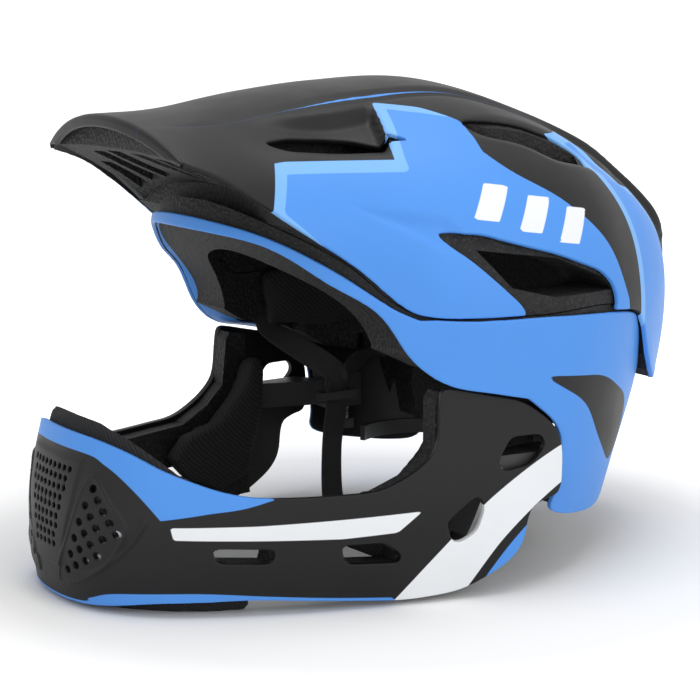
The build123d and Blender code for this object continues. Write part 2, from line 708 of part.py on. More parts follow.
cheek_pad_right = mirror(cheek_pad_left.part, about=Plane.YZ)
cheek_pad_right.label = "cheek_pad_right"
export_step(cheek_pad_right, "parts/cheek_pad_right.step")


def write_pair(name, left):
    """Label and write a left piece and its mirror image."""
    right = mirror(left, about=Plane.YZ)
    left.label = name + "_left"
    right.label = name + "_right"
    export_step(left, "parts/" + name + "_left.step")
    export_step(right, "parts/" + name + "_right.step")


def bench_box(low, high):
    """A plain block between two corners."""
    size = [b - a for a, b in zip(low, high)]
    middle = [(a + b) / 2 for a, b in zip(low, high)]
    return Pos(*middle) * Box(*size, mode=Mode.PRIVATE)


with BuildPart() as latch_tongue:
    with BuildSketch(Plane.XY.offset(tongue_low)):
        with BuildLine():
            Polyline((tongue_inner_x, tongue_tip_y), (tongue_inner_x, tongue_neck_y - tongue_thick * 2),
                     (tongue_root_front_x - tongue_thick, tongue_root_front_y),
                     (tongue_root_front_x, tongue_root_front_y), (tongue_root_back_x, tongue_root_back_y),
                     (tongue_inner_x + tongue_thick, tongue_neck_y),
                     (tongue_inner_x + tongue_thick, tongue_tip_y), close=True)
        make_face()
    extrude(amount=tongue_high - tongue_low)
    add(bench_box((0, notch_y, tongue_low - fit_gap), (half_width, notch_y + notch_wide, tongue_low + notch_deep)),
        mode=Mode.SUBTRACT)

    for rivet_tip, rivet_y in rivet_spots:
        with Locations((rivet_tip - rivet_long / 2, rivet_y, rivet_z)):
            Cylinder(rivet_radius + fit_gap, rivet_long + 2 * fit_gap, rotation=(0, 90, 0),
                     mode=Mode.SUBTRACT)

write_pair("latch_tongue", latch_tongue.part)

with BuildPart() as tongue_rivets:
    for side in (1, -1):
        for rivet_tip, rivet_y in rivet_spots:
            with Locations((side * (rivet_tip - rivet_long / 2), rivet_y, rivet_z)):
                Cylinder(rivet_radius, rivet_long, rotation=(0, 90, 0))

tongue_rivets.part.label = "tongue_rivets"
export_step(tongue_rivets.part, "parts/tongue_rivets.step")

socket_inner_x = tongue_inner_x - fit_gap - socket_wall
socket_low = tongue_low - fit_gap - socket_wall
socket_high = tongue_high + fit_gap + socket_wall
button_wide = notch_wide - 2 * running_gap

with BuildPart() as latch_socket:
    with BuildSketch(Plane.XY.offset(socket_low)):
        with BuildLine():
            Polyline((socket_inner_x, socket_front_y), (socket_outer_x, socket_front_y),
                     (socket_outer_back_x, socket_back_y), (socket_inner_x, socket_back_y), close=True)
        make_face()
    extrude(amount=socket_high - socket_low)
    add(bench_box((tongue_inner_x - fit_gap, 0, tongue_low - fit_gap),
                  (tongue_inner_x + tongue_thick + fit_gap, tongue_tip_y + fit_gap, tongue_high + fit_gap)),
        mode=Mode.SUBTRACT)
    button_bay_low = notch_y + running_gap - fit_gap
    add(bench_box((tongue_inner_x - fit_gap, button_bay_low, 0),
                  (tongue_inner_x + tongue_thick + fit_gap, button_bay_low + button_wide + 2 * fit_gap, tongue_low)),
        mode=Mode.SUBTRACT)

write_pair("latch_socket", latch_socket.part)

# Release buttons: pushed up from under the flap against a coil spring
button_travel = 2.5
button_head_low = 33.0
button_head_tall = 5.0
button_head_long = 12.0
button_head_wide = 6.0
spring_wall = 1.2

with BuildPart() as release_button:
    stem_low = button_head_low + button_head_tall
    stem_high = tongue_low - fit_gap - button_travel
    middle_x = tongue_inner_x + tongue_thick / 2
    middle_y = notch_y + notch_wide / 2
    add(bench_box((middle_x - tongue_thick / 2, middle_y - button_wide / 2, stem_low),
                  (middle_x + tongue_thick / 2, middle_y + button_wide / 2, stem_high)))
    add(bench_box((middle_x - button_head_wide / 2, middle_y - button_head_long / 2, button_head_low),
                  (middle_x + button_head_wide / 2, middle_y + button_head_long / 2, stem_low)))

write_pair("release_button", release_button.part)

with BuildPart() as button_spring:
    spring_low = stem_low + fit_gap
    spring_high = socket_low - fit_gap
    spring_half = button_wide / 2 + fit_gap
    with BuildSketch(Plane((middle_x, middle_y, spring_low))):
        RectangleRounded(tongue_thick + 2 * fit_gap + 2 * spring_wall, 2 * (spring_half + spring_wall), spring_wall)
        Rectangle(tongue_thick + 2 * fit_gap, 2 * spring_half, mode=Mode.SUBTRACT)
    extrude(amount=spring_high - spring_low)

write_pair("button_spring", button_spring.part)

# Cradle: a housing on a hanger at the nape, a toothed band to each side and a dial behind
cradle_y = 88.0
housing_wide = 44.0
housing_deep = 10.0
housing_low = 22.0
housing_high = 46.5
housing_round = 3.0
band_tall = 7.0
band_thick = 2.4
band_z = 36.0
band_inner_end = 4.0
band_turn_x = 30.0
band_travel = 8.0
band_reach_x = 58.0
band_reach_y = 40.0
dial_radius = 13.0
dial_deep = 8.0
dial_z = 30.0
dial_shaft = 3.0
dial_ribs = 16
dial_rib = 1.6

housing_front = cradle_y
housing_back = cradle_y + housing_deep
band_y = housing_front + housing_deep / 2 - band_thick

with BuildPart() as cradle_housing:
    with BuildSketch(Plane.XZ.offset(-housing_back)):
        with Locations((0, (housing_low + housing_high) / 2)):
            RectangleRounded(housing_wide, housing_high - housing_low, housing_round)
    extrude(amount=housing_deep)
    add(bench_box((-half_width, band_y - band_thick / 2 - fit_gap, band_z - band_tall / 2 - fit_gap),
                  (half_width, band_y + band_thick / 2 + fit_gap, band_z + band_tall / 2 + fit_gap)),
        mode=Mode.SUBTRACT)
    with BuildSketch(Plane.XZ.offset(-housing_back)):
        with Locations((0, dial_z)):
            Circle(dial_shaft + fit_gap)
    extrude(amount=housing_back - band_y - band_thick / 2 - fit_gap, mode=Mode.SUBTRACT)

cradle_housing.part.label = "cradle_housing"
export_step(cradle_housing.part, "parts/cradle_housing.step")

with BuildPart() as adjuster_dial:
    with BuildSketch(Plane.XZ.offset(-(housing_back + fit_gap + dial_deep))):
        with Locations((0, dial_z)):
            Circle(dial_radius - dial_rib / 2)
        with Locations((0, dial_z)):
            with PolarLocations(dial_radius - dial_rib / 2, dial_ribs):
                Circle(dial_rib)
    extrude(amount=dial_deep)
    with BuildSketch(Plane.XZ.offset(-(housing_back + fit_gap))):
        with Locations((0, dial_z)):
            Circle(dial_shaft)
    extrude(amount=housing_deep / 2 - fit_gap - band_thick / 2)

adjuster_dial.part.label = "adjuster_dial"
export_step(adjuster_dial.part, "parts/adjuster_dial.step")

with BuildPart() as headband:
    with BuildLine() as band_path:
        start = Line((band_inner_end, band_y), (band_turn_x, band_y))
        TangentArc(start @ 1, (band_reach_x, band_reach_y), tangent=start % 1)
    band_curve = band_path.line
    with BuildSketch(Plane((band_inner_end, band_y, band_z), x_dir=(0, 1, 0), z_dir=(1, 0, 0))):
        Rectangle(band_thick, band_tall)
    sweep(path=Pos(0, 0, band_z) * band_curve)

write_pair("headband", headband.part)

# The hanger holds the housing to the foam with two rivets
hanger_half = 9.0
hanger_line = [(92.0, housing_high + fit_gap), (96.0, housing_high + fit_gap), (101.0, 55.0),
               (108.9, 76.0), (111.2, 95.0), (109.2, 95.0), (106.7, 76.0), (98.8, 55.0)]

with BuildPart() as cradle_hanger:
    with BuildSketch(Plane.YZ):
        with BuildLine():
            Polyline(*hanger_line, close=True)
        make_face()
    extrude(amount=hanger_half, both=True)
    with BuildSketch(Plane.XZ.offset(-hanger_rivet_low_y + height)):
        with Locations((hanger_rivet_x, hanger_rivet_z), (-hanger_rivet_x, hanger_rivet_z)):
            Circle(hanger_rivet_radius + fit_gap)
    extrude(amount=-2 * height, mode=Mode.SUBTRACT)

cradle_hanger.part.label = "cradle_hanger"
export_step(cradle_hanger.part, "parts/cradle_hanger.step")

with BuildPart() as hanger_rivets:
    with BuildSketch(Plane.XZ.offset(-hanger_rivet_low_y)):
        with Locations((hanger_rivet_x, hanger_rivet_z), (-hanger_rivet_x, hanger_rivet_z)):
            Circle(hanger_rivet_radius)
    extrude(amount=-(hanger_rivet_high_y - hanger_rivet_low_y))

hanger_rivets.part.label = "hanger_rivets"
export_step(hanger_rivets.part, "parts/hanger_rivets.step")

# The nape pad stands on the floor when the helmet is put down
nape_pad_thick = 5.5
nape_pad_half = 20.0
nape_pad_foot = 8.0
nape_pad_top = 44.0

with BuildPart() as nape_pad:
    with BuildSketch(Plane.XZ.offset(-(housing_front - fit_gap))):
        with BuildLine():
            Polyline((-nape_pad_foot, 0), (nape_pad_foot, 0), (nape_pad_half, housing_low),
                     (nape_pad_half, nape_pad_top), (-nape_pad_half, nape_pad_top),
                     (-nape_pad_half, housing_low), close=True)
        make_face()
    extrude(amount=nape_pad_thick)

nape_pad.part.label = "nape_pad"
export_step(nape_pad.part, "parts/nape_pad.step")

# Straps: two legs from the foam meet at a divider, and one band goes on to the buckle
divider_x = 61.0
divider_y = 27.0
divider_z = 56.0
divider_top = 68.0
divider_low = 50.0
divider_size = (6.0, 20.0, 4.0)
strap_drop = 8.0
buckle_y = 16.0
buckle_z = 6.5
bend_x = 46.0
clip_end = 24.0
clip_insert = 4.0
socket_end = -22.0


def strap_run(start, end, overlap=0.0, flat=False):
    """A straight run of webbing between two points, upright unless flat, a little long at its end."""
    path = Vector(*end) - Vector(*start)
    wide_along = (0, 1, 0) if flat else path.cross(Vector(1, 0, 0))
    with BuildSketch(Plane(start, x_dir=wide_along, z_dir=path)) as band:
        Rectangle(strap_wide, strap_thick)
    return extrude(band.sketch, amount=path.length + overlap, mode=Mode.PRIVATE)


def strap(end_x):
    """One whole strap of the left side, ending flat at a distance from the middle."""
    top = (divider_x, divider_y, divider_top)
    low = (divider_x, divider_y, divider_low)
    bend = (bend_x, buckle_y, buckle_z)
    with BuildPart() as webbing:
        for anchor_x, anchor_y, anchor_z in anchor_spots:
            eye = (anchor_x, anchor_y, anchor_z - anchor_size[2] / 2 - fit_gap)
            leg_start = (anchor_x, anchor_y, eye[2] - strap_drop)
            add(strap_run(eye, leg_start, strap_thick))
            add(strap_run(leg_start, top, strap_thick))
        add(strap_run(top, low, strap_thick))
        add(strap_run(low, bend, strap_thick))
        add(strap_run((bend_x + strap_thick, buckle_y, buckle_z), (end_x, buckle_y, buckle_z), flat=True))
    return webbing.part


strap_left = strap(clip_end - clip_insert)
strap_left.label = "strap_left"
export_step(strap_left, "parts/strap_left.step")

strap_right = mirror(strap(-socket_end - clip_insert), about=Plane.YZ)
strap_right.label = "strap_right"
export_step(strap_right, "parts/strap_right.step")

with BuildPart() as strap_anchors:
    for side in (1, -1):
        for anchor_x, anchor_y, anchor_z in anchor_spots:
            with Locations((side * anchor_x, anchor_y, anchor_z)):
                Box(*anchor_size)

strap_anchors.part.label = "strap_anchors"
export_step(strap_anchors.part, "parts/strap_anchors.step")

with BuildPart() as strap_divider:
    with Locations((divider_x, divider_y, divider_z)):
        Box(*divider_size)
        Box(strap_thick + 2 * running_gap, strap_wide + 2 * running_gap, divider_size[2], mode=Mode.SUBTRACT)

write_pair("strap_divider", strap_divider.part)

# Side release buckle under the chin
buckle_half = 9.0
buckle_round = 1.5
buckle_low = 2.0
buckle_high = 11.0
bay_half = 6.6
bay_low = 4.0
bay_high = 9.0
bay_depth = 16.0
prong_slot = 2.2
tunnel_half_tall = 1.5
clip_half = 8.0
clip_front = 3.0
clip_travel = 16.0
tunnel_half = strap_wide / 2 + running_gap

with BuildPart() as buckle_socket:
    add(bench_box((socket_end, buckle_y - buckle_half, buckle_low), (0, buckle_y + buckle_half, buckle_high)))
    fillet(buckle_socket.edges().filter_by(Axis.X), radius=buckle_round)
    add(bench_box((-bay_depth, buckle_y - bay_half, bay_low), (overrun, buckle_y + bay_half, bay_high)),
        mode=Mode.SUBTRACT)
    add(bench_box((socket_end - overrun, buckle_y - tunnel_half, buckle_z - tunnel_half_tall),
                  (socket_end + clip_insert + fit_gap, buckle_y + tunnel_half, buckle_z + tunnel_half_tall)),
        mode=Mode.SUBTRACT)

buckle_socket.part.label = "buckle_socket"
export_step(buckle_socket.part, "parts/buckle_socket.step")

with BuildPart() as buckle_clip:
    add(bench_box((fit_gap, buckle_y - clip_half, buckle_low + fit_gap),
                  (clip_end, buckle_y + clip_half, buckle_high - fit_gap)))
    fillet(buckle_clip.edges().filter_by(Axis.X), radius=buckle_round)
    add(bench_box((clip_front, buckle_y - tunnel_half, buckle_z - tunnel_half_tall),
                  (clip_end + overrun, buckle_y + tunnel_half, buckle_z + tunnel_half_tall)),
        mode=Mode.SUBTRACT)
    add(bench_box((running_gap - bay_depth, buckle_y - bay_half + running_gap, bay_low + running_gap),
                  (clip_front, buckle_y + bay_half - running_gap, bay_high - running_gap)))
    add(bench_box((-bay_depth, buckle_y - prong_slot, 0), (-clip_front, buckle_y + prong_slot, height)),
        mode=Mode.SUBTRACT)

buckle_clip.part.label = "buckle_clip"
export_step(buckle_clip.part, "parts/buckle_clip.step")

# Hook and loop dots that hold the crown pad
dot_radius = 7.0
dot_pitch = 24.0

with BuildPart() as pad_dots:
    with BuildSketch(Plane.XY.offset(up(head_share[-1][0]) - pad_gap + fit_gap / 2)):
        with Locations((0, head_y - dot_pitch / 2), (0, head_y + dot_pitch / 2)):
            Circle(dot_radius)
    extrude(amount=pad_gap - fit_gap)

pad_dots.part.label = "pad_dots"
export_step(pad_dots.part, "parts/pad_dots.step")
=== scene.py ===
import bpy
import numpy as np
from mathutils import Matrix, Vector


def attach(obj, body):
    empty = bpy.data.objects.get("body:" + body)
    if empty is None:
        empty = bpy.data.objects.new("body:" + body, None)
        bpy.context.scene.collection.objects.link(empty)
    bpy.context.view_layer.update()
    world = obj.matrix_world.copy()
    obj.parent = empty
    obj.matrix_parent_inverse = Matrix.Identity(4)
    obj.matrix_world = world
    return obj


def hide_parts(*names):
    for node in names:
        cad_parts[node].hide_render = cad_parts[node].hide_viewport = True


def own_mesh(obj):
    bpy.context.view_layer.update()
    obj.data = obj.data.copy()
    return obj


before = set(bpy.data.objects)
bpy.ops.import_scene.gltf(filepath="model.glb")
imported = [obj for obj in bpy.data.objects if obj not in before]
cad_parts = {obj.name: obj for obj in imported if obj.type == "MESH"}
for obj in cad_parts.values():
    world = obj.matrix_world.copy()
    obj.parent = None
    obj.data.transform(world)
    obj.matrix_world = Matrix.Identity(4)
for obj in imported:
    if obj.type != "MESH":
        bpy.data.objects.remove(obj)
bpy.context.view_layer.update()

# Lower shell: one thin moulding of painted plastic over the foam, from the brow band round the
# ears to the nape. Its edges are rounded off, and it is the base that the other parts join.
length, half_width, height = 305.0, 105.5, 209.0
head_y = 0.074 * length
skin, rim_round, seam_gap = 2.5, 0.7, 0.5
shell_rows = [
    (0.100, 0.895, 0.341, 0.282), (0.215, 0.948, 0.354, 0.305), (0.360, 0.986, 0.367, 0.344),
    (0.480, 0.998, 0.374, 0.367), (0.600, 1.000, 0.377, 0.374), (0.720, 0.967, 0.370, 0.370),
    (0.775, 0.920, 0.360, 0.360)]
port_edge = [(-0.313, 0.725), (-0.254, 0.698), (-0.201, 0.633), (-0.150, 0.576), (-0.110, 0.485),
             (-0.064, 0.435), (0.000, 0.413), (0.051, 0.397)]
flap_edge = [(0.100, 0.344), (0.116, 0.300), (0.116, 0.200), (0.106, 0.153), (0.146, 0.134),
             (0.221, 0.120), (0.264, 0.124), (0.284, 0.163), (0.320, 0.201), (0.369, 0.230),
             (0.600, 0.240)]
brow_edge = [(-0.313, 0.762), (-0.254, 0.724), (-0.198, 0.668), (-0.137, 0.596), (-0.103, 0.569)]
crown_edge = [(-0.420, 0.883), (-0.346, 0.845), (-0.293, 0.798), (-0.228, 0.727), (-0.172, 0.665),
              (-0.120, 0.590), (-0.087, 0.569), (-0.025, 0.563), (0.096, 0.560), (0.262, 0.541),
              (0.300, 0.500)]
crown_tail = [(0.318, 0.430), (0.345, 0.372), (0.600, 0.368)]


def side(shares, lift=0.0):
    """Side view points in millimetres, from shares of the length and the height."""
    return [(y * length, z * height + lift) for y, z in shares]


def between_rows(rows, where):
    """The table's columns at given places: on each span the cubic with the values of its two
    rows, whose slopes are those of the straight lines between each row's neighbours."""
    rows = np.array(rows)
    at = rows[:, 0]
    before = np.maximum(np.arange(len(at)) - 1, 0)
    after = np.minimum(np.arange(len(at)) + 1, len(at) - 1)
    slope = (rows[after] - rows[before]) / (at[after] - at[before])[:, None]
    k = np.clip(np.searchsorted(at, where) - 1, 0, len(at) - 2)
    span = at[k + 1] - at[k]
    t = (where - at[k]) / span
    found = []
    for column in range(1, rows.shape[1]):
        start, end = rows[k, column], rows[k + 1, column]
        leave, arrive = slope[k, column] * span, slope[k + 1, column] * span
        found.append((2 * t**3 - 3 * t**2 + 1) * start + (t**3 - 2 * t**2 + t) * leave
                     + (3 * t**2 - 2 * t**3) * end + (t**3 - t**2) * arrive)
    return found


def smooth_line(points, steps=8):
    """A curve through points: cubics whose directions at a point are half the step between the
    points on either side of it."""
    p = np.array(points, float)
    ends = np.vstack([2 * p[0] - p[1], p, 2 * p[-1] - p[-2]])
    t = (np.arange(steps) / steps)[None, :, None]
    a, b, c, d = ends[:-3, None], ends[1:-2, None], ends[2:-1, None], ends[3:, None]
    line = 0.5 * (2 * b + (c - a) * t + (2 * a - 5 * b + 4 * c - d) * t**2
                  + (3 * b - a - 3 * c + d) * t**3)
    return [tuple(q) for q in line.reshape(-1, p.shape[1])] + [tuple(p[-1])]


def soft_corners(points, radius, steps=5):
    """A closed outline with each corner turned into a quadratic curve that starts and ends a
    radius away from it, or at two fifths of a shorter side."""
    p = np.array(points, float)
    back, ahead = np.roll(p, 1, axis=0) - p, np.roll(p, -1, axis=0) - p
    reach_back = np.linalg.norm(back, axis=1)[:, None]
    reach_ahead = np.linalg.norm(ahead, axis=1)[:, None]
    start = p + back * np.minimum(0.42, radius / reach_back)
    end = p + ahead * np.minimum(0.42, radius / reach_ahead)
    t = np.linspace(0, 1, steps)[None, :, None]
    return ((1 - t)**2 * start[:, None] + 2 * t * (1 - t) * p[:, None] + t**2 * end[:, None]).reshape(-1, 2)


def inside(flat, outline):
    """How far flat points lie inside a closed outline: the least distance to its sides, with the
    sign set by how many sides a level line from the point crosses."""
    outline = np.array(outline, float)
    near = np.full(len(flat), 1e9)
    crossed = np.zeros(len(flat), bool)
    for a, b in zip(outline, np.roll(outline, -1, axis=0)):
        run = b - a
        if run @ run < 1e-12:
            continue
        t = np.clip((flat - a) @ run / (run @ run), 0, 1)
        near = np.minimum(near, np.linalg.norm(flat - a - t[:, None] * run, axis=1))
        spans = (a[1] > flat[:, 1]) != (b[1] > flat[:, 1])
        rise = run[1] if abs(run[1]) > 1e-12 else 1e-12
        crossed ^= spans & (flat[:, 0] < a[0] + (flat[:, 1] - a[1]) * run[0] / rise)
    return np.where(crossed, near, -near)


def rising(value, low, high):
    """Zero below a value, one above another, and between them a cubic that is flat at both."""
    t = np.clip((value - low) / (high - low), 0, 1)
    return t * t * (3 - 2 * t)


def grid_faces(rows, columns):
    """Two triangles for each cell of a grid of points that is numbered row by row."""
    corner = (np.arange(rows - 1)[:, None] * columns + np.arange(columns - 1)).ravel()
    first = np.stack([corner, corner + 1, corner + columns + 1], axis=1)
    second = np.stack([corner, corner + columns + 1, corner + columns], axis=1)
    return np.vstack([first, second])


trim_snap = 0.1


def trim(points, faces, keep):
    """Cuts a surface where keep is zero and drops the negative side. A cut point lies where the
    value, taken as straight along a triangle's side, is zero. A value near zero counts as zero."""
    value = keep(points)
    value[np.abs(value) < trim_snap] = 0.0
    kept = value >= 0
    count = kept[faces].sum(axis=1)
    one, two = faces[count == 1], faces[count == 2]
    turn = np.argmax(kept[one], axis=1)
    one = np.take_along_axis(one, (turn[:, None] + np.arange(3)) % 3, axis=1)
    turn = np.argmin(kept[two], axis=1)
    two = np.take_along_axis(two, (turn[:, None] + np.arange(3)) % 3, axis=1)
    pairs = np.vstack([one[:, [0, 1]], one[:, [0, 2]], two[:, [1, 0]], two[:, [2, 0]]])
    unique, place = np.unique(pairs, axis=0, return_inverse=True)
    place = place.ravel()
    share = value[unique[:, 0]] / (value[unique[:, 0]] - value[unique[:, 1]])
    cut = points[unique[:, 0]] + share[:, None] * (points[unique[:, 1]] - points[unique[:, 0]])
    number = np.where(value[unique[:, 0]] == 0, unique[:, 0], len(points) + np.arange(len(unique)))[place]
    a, b, c, d = np.split(number, [len(one), 2 * len(one), 2 * len(one) + len(two)])
    pieces = [faces[count == 3], np.stack([one[:, 0], a, b], axis=1),
              np.stack([c, two[:, 1], two[:, 2]], axis=1), np.stack([c, two[:, 2], d], axis=1)]
    faces = np.vstack(pieces)
    real = (faces[:, 0] != faces[:, 1]) & (faces[:, 1] != faces[:, 2]) & (faces[:, 2] != faces[:, 0])
    used, faces = np.unique(faces[real], return_inverse=True)
    return np.vstack([points, cut])[used], faces.reshape(-1, 3)


def point_normals(points, faces):
    """At each point the sum of the cross products of its triangles' sides, at length one."""
    a, b, c = points[faces[:, 0]], points[faces[:, 1]], points[faces[:, 2]]
    cross = np.cross(b - a, c - a)
    total = np.zeros_like(points)
    for corner in range(3):
        np.add.at(total, faces[:, corner], cross)
    return total / np.maximum(np.linalg.norm(total, axis=1), 1e-12)[:, None]


def walled(points, faces, thick, edge=rim_round):
    """A surface with a wall: a copy moved inwards along the normals, and round every open edge a
    rim that leaves the outer side in a quarter round and meets the inner side in another."""
    normal = point_normals(points, faces)
    count = len(points)
    ways = faces[:, [0, 1, 1, 2, 2, 0]].reshape(-1, 2)
    rim = ways[~np.isin(ways[:, 0] * count + ways[:, 1], ways[:, 1] * count + ways[:, 0])]
    out = np.cross(points[rim[:, 1]] - points[rim[:, 0]], normal[rim[:, 0]])
    out /= np.maximum(np.linalg.norm(out, axis=1), 1e-9)[:, None]
    away = np.zeros_like(points)
    np.add.at(away, rim[:, 0], out)
    np.add.at(away, rim[:, 1], out)
    away /= np.maximum(np.linalg.norm(away, axis=1), 1e-9)[:, None]
    ids = np.unique(rim)
    slot_of = np.zeros(count, int)
    slot_of[ids] = np.arange(len(ids))
    angle = np.radians([30, 60, 90])
    sink = np.concatenate([edge * (1 - np.cos(angle)), thick - edge * (1 - np.cos(angle[::-1]))])
    push = np.concatenate([edge * np.sin(angle), edge * np.sin(angle[::-1])])
    rings = [points[ids] - s * normal[ids] + p * away[ids] for s, p in zip(sink, push)]
    every = np.vstack([points, points - thick * normal] + rings)
    numbers = [ids] + [2 * count + k * len(ids) + np.arange(len(ids)) for k in range(len(rings))]
    numbers.append(count + ids)
    i, j = slot_of[rim[:, 0]], slot_of[rim[:, 1]]
    skirts = []
    for near, far in zip(numbers[:-1], numbers[1:]):
        skirts.append(np.stack([near[j], near[i], far[i]], axis=1))
        skirts.append(np.stack([near[j], far[i], far[j]], axis=1))
    # Plus on the outer side and the outer part of the rim; minus on the inner side and the inner part of
    # the rim, which are drawn in painted shade.
    painted = np.full(len(every), -3.0)
    painted[:count] = 3.0
    painted[2 * count:2 * count + 4 * len(ids)] = 3.0
    return every, np.vstack([faces, faces[:, ::-1] + count] + skirts), painted


def new_piece(name, points, faces, material, body, stands_for=(), values=None):
    """A mesh object from points in millimetres, smooth shaded, with one number at each point for
    every named value."""
    mesh = bpy.data.meshes.new(name)
    mesh.from_pydata(np.asarray(points) * 0.001, [], np.asarray(faces).tolist())
    for title, numbers in (values or {}).items():
        layer = mesh.attributes.new(title, "FLOAT", "POINT")
        layer.data.foreach_set("value", np.asarray(numbers, np.float32))
    mesh.materials.append(material)
    mesh.update()
    mesh.shade_smooth()
    piece = bpy.data.objects.new(name, mesh)
    bpy.context.scene.collection.objects.link(piece)
    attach(piece, body)
    if stands_for:
        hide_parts(*stands_for)
    return piece


def shader(name, roughness, specular=0.5):
    """A material with one shader. It gives back the material, a maker of nodes, whose inputs go by
    their name or by an underscore and a number, and a function that joins a value to the shader."""
    material = bpy.data.materials.new(name)
    material.use_nodes = True
    tree = material.node_tree
    surface = tree.nodes["Principled BSDF"]
    surface.inputs["Roughness"].default_value = roughness
    surface.inputs["Specular IOR Level"].default_value = specular

    def make(kind, settings=None, **inputs):
        """A node with its settings, each input joined to a socket or set to a value."""
        made = tree.nodes.new("ShaderNode" + kind)
        for key, value in (settings or {}).items():
            setattr(made, key, value)
        for key, value in inputs.items():
            numbered = key[0] == "_" and key[1:].isdigit()
            socket = made.inputs[int(key[1:]) if numbered else key.replace("_", " ")]
            if isinstance(value, bpy.types.NodeSocket):
                tree.links.new(value, socket)
            else:
                socket.default_value = value
        return made

    def join(value, socket):
        """Joins a value to one of the shader's inputs."""
        tree.links.new(value, surface.inputs[socket])

    return material, make, join


def blend_colour(make, share, first, second):
    """A colour between two others by a share."""
    mix = make("Mix", {"data_type": "RGBA"}, _0=share)
    for socket, value in ((mix.inputs[6], first), (mix.inputs[7], second)):
        if isinstance(value, bpy.types.NodeSocket):
            mix.id_data.links.new(value, socket)
        else:
            socket.default_value = (*value, 1.0)
    return mix.outputs[2]


def spread(make, value, low, high, first=0.0, last=1.0):
    """A value carried evenly from one span to another, and held at both ends."""
    return make("MapRange", Value=value, _1=low, _2=high, _3=first, _4=last).outputs[0]


def roughen(make, join, value, strength, distance):
    """Raises a surface's grain by a value, times a distance in metres."""
    bump = make("Bump", Strength=strength, Distance=distance, Height=value)
    join(bump.outputs["Normal"], "Normal")


# Near black for the inner sides of the shells and the chin bar: painted shade for the dark inside of the
# helmet.
inner_shade_black = (0.0050, 0.0050, 0.0055)
paint_black = (0.0062, 0.0062, 0.0066)
paint_blue = (0.080, 0.285, 0.765)
paint_edge = 0.14


def paint_finish(name, layers):
    """Satin paint with a fine orange peel and slight wear of the gloss. Each layer's colour covers
    the ones before it where its value, in millimetres, is over zero, and fades in round zero. A
    layer whose name ends in _line covers where its value, of either sign, is under the value
    named _width. Where the side value is under zero, on the inner side, a near black is drawn:
    painted shade for the dark inside of the shell."""
    material, make, join = shader(name, 0.44, 0.25)
    place = make("TexCoord").outputs["Object"]
    cloud = make("TexNoise", Vector=place, Scale=45.0, Detail=5.0, Roughness=0.6)
    tone = spread(make, cloud.outputs["Fac"], 0.3, 0.7)
    colour = blend_colour(make, tone, paint_black, tuple(1.18 * c for c in paint_black))
    for title, paint in layers:
        value = make("Attribute", {"attribute_name": title}).outputs["Fac"]
        if title.endswith("_line"):
            width = make("Attribute", {"attribute_name": title.replace("_line", "_width")}).outputs["Fac"]
            off = make("Math", {"operation": "ABSOLUTE"}, _0=value)
            value = make("Math", {"operation": "SUBTRACT"}, _0=width, _1=off.outputs[0]).outputs[0]
        covers = spread(make, value, -paint_edge, paint_edge)
        tinted = blend_colour(make, tone, tuple(0.97 * c for c in paint), paint)
        colour = blend_colour(make, covers, colour, tinted)
    outer = spread(make, make("Attribute", {"attribute_name": "painted"}).outputs["Fac"], -0.5, 0.5)
    join(blend_colour(make, outer, inner_shade_black, colour), "Base Color")
    join(spread(make, cloud.outputs["Fac"], 0.25, 0.75, 0.41, 0.52), "Roughness")
    peel = make("TexNoise", Vector=place, Scale=900.0, Detail=3.0)
    roughen(make, join, peel.outputs["Fac"], 0.05, 0.0004)
    return material


def shell_outline(gap):
    """The lower shell's side view: the face port, the flap and the nape, then back along a line
    that stays a gap below the crown's edge."""
    port = smooth_line(side(port_edge))
    flap = side(flap_edge)
    low = soft_corners([port[-1]] + flap, 6.0).tolist()[5:-5]
    seam = smooth_line(side(crown_edge[6:], -gap))
    brow = smooth_line(side(brow_edge, -gap))
    tail = side(crown_tail, -gap)
    return (port + [tuple(q) for q in low] + [tail[2]] + tail[1::-1] + seam[::-1] + brow[::-1]
            + [(-length, brow[0][1]), (-length, port[0][1])])


def shell_surface(turns, levels):
    """The lower shell's outer side: level rings of two half ellipses that share their width, with
    one reach ahead of the head's middle and another behind it."""
    turn = np.linspace(-np.pi, np.pi, turns)[None, :]
    level = np.linspace(shell_rows[0][0], shell_rows[-1][0], levels)[:, None]
    wide, ahead, behind = between_rows(shell_rows, level)
    reach = np.where(np.cos(turn) > 0, ahead, behind) * length
    rings = np.broadcast_arrays(wide * half_width * np.sin(turn), head_y - reach * np.cos(turn),
                                level * height)
    return np.stack(rings, axis=2).reshape(-1, 3), grid_faces(levels, turns)


points, faces = shell_surface(441, 120)
outline = shell_outline(seam_gap + rim_round)
points, faces = trim(points, faces, lambda p: inside(p[:, 1:], outline) - rim_round)
points, faces, painted = walled(points, faces, skin)
flap_black = soft_corners([(22, 92), (60, 88), (84, 74), (88, 52), (76, 44), (60, 60), (48, 78)], 8)
shell_values = {"black_patch": inside(points[:, 1:], flap_black),
                "all_blue": np.full(len(points), 5.0), "painted": painted}
shell_paint = paint_finish("lower_shell_paint", [("all_blue", paint_blue), ("black_patch", paint_black)])
new_piece("lower_shell_skin", points, faces, shell_paint, "helmet",
          ["lower_shell"], shell_values)

# Port lip: the lower shell's edge round the face port is turned inwards as a narrow painted lip in
# front of the foam, from one temple over the brow to the other.
temple_more = 0.65


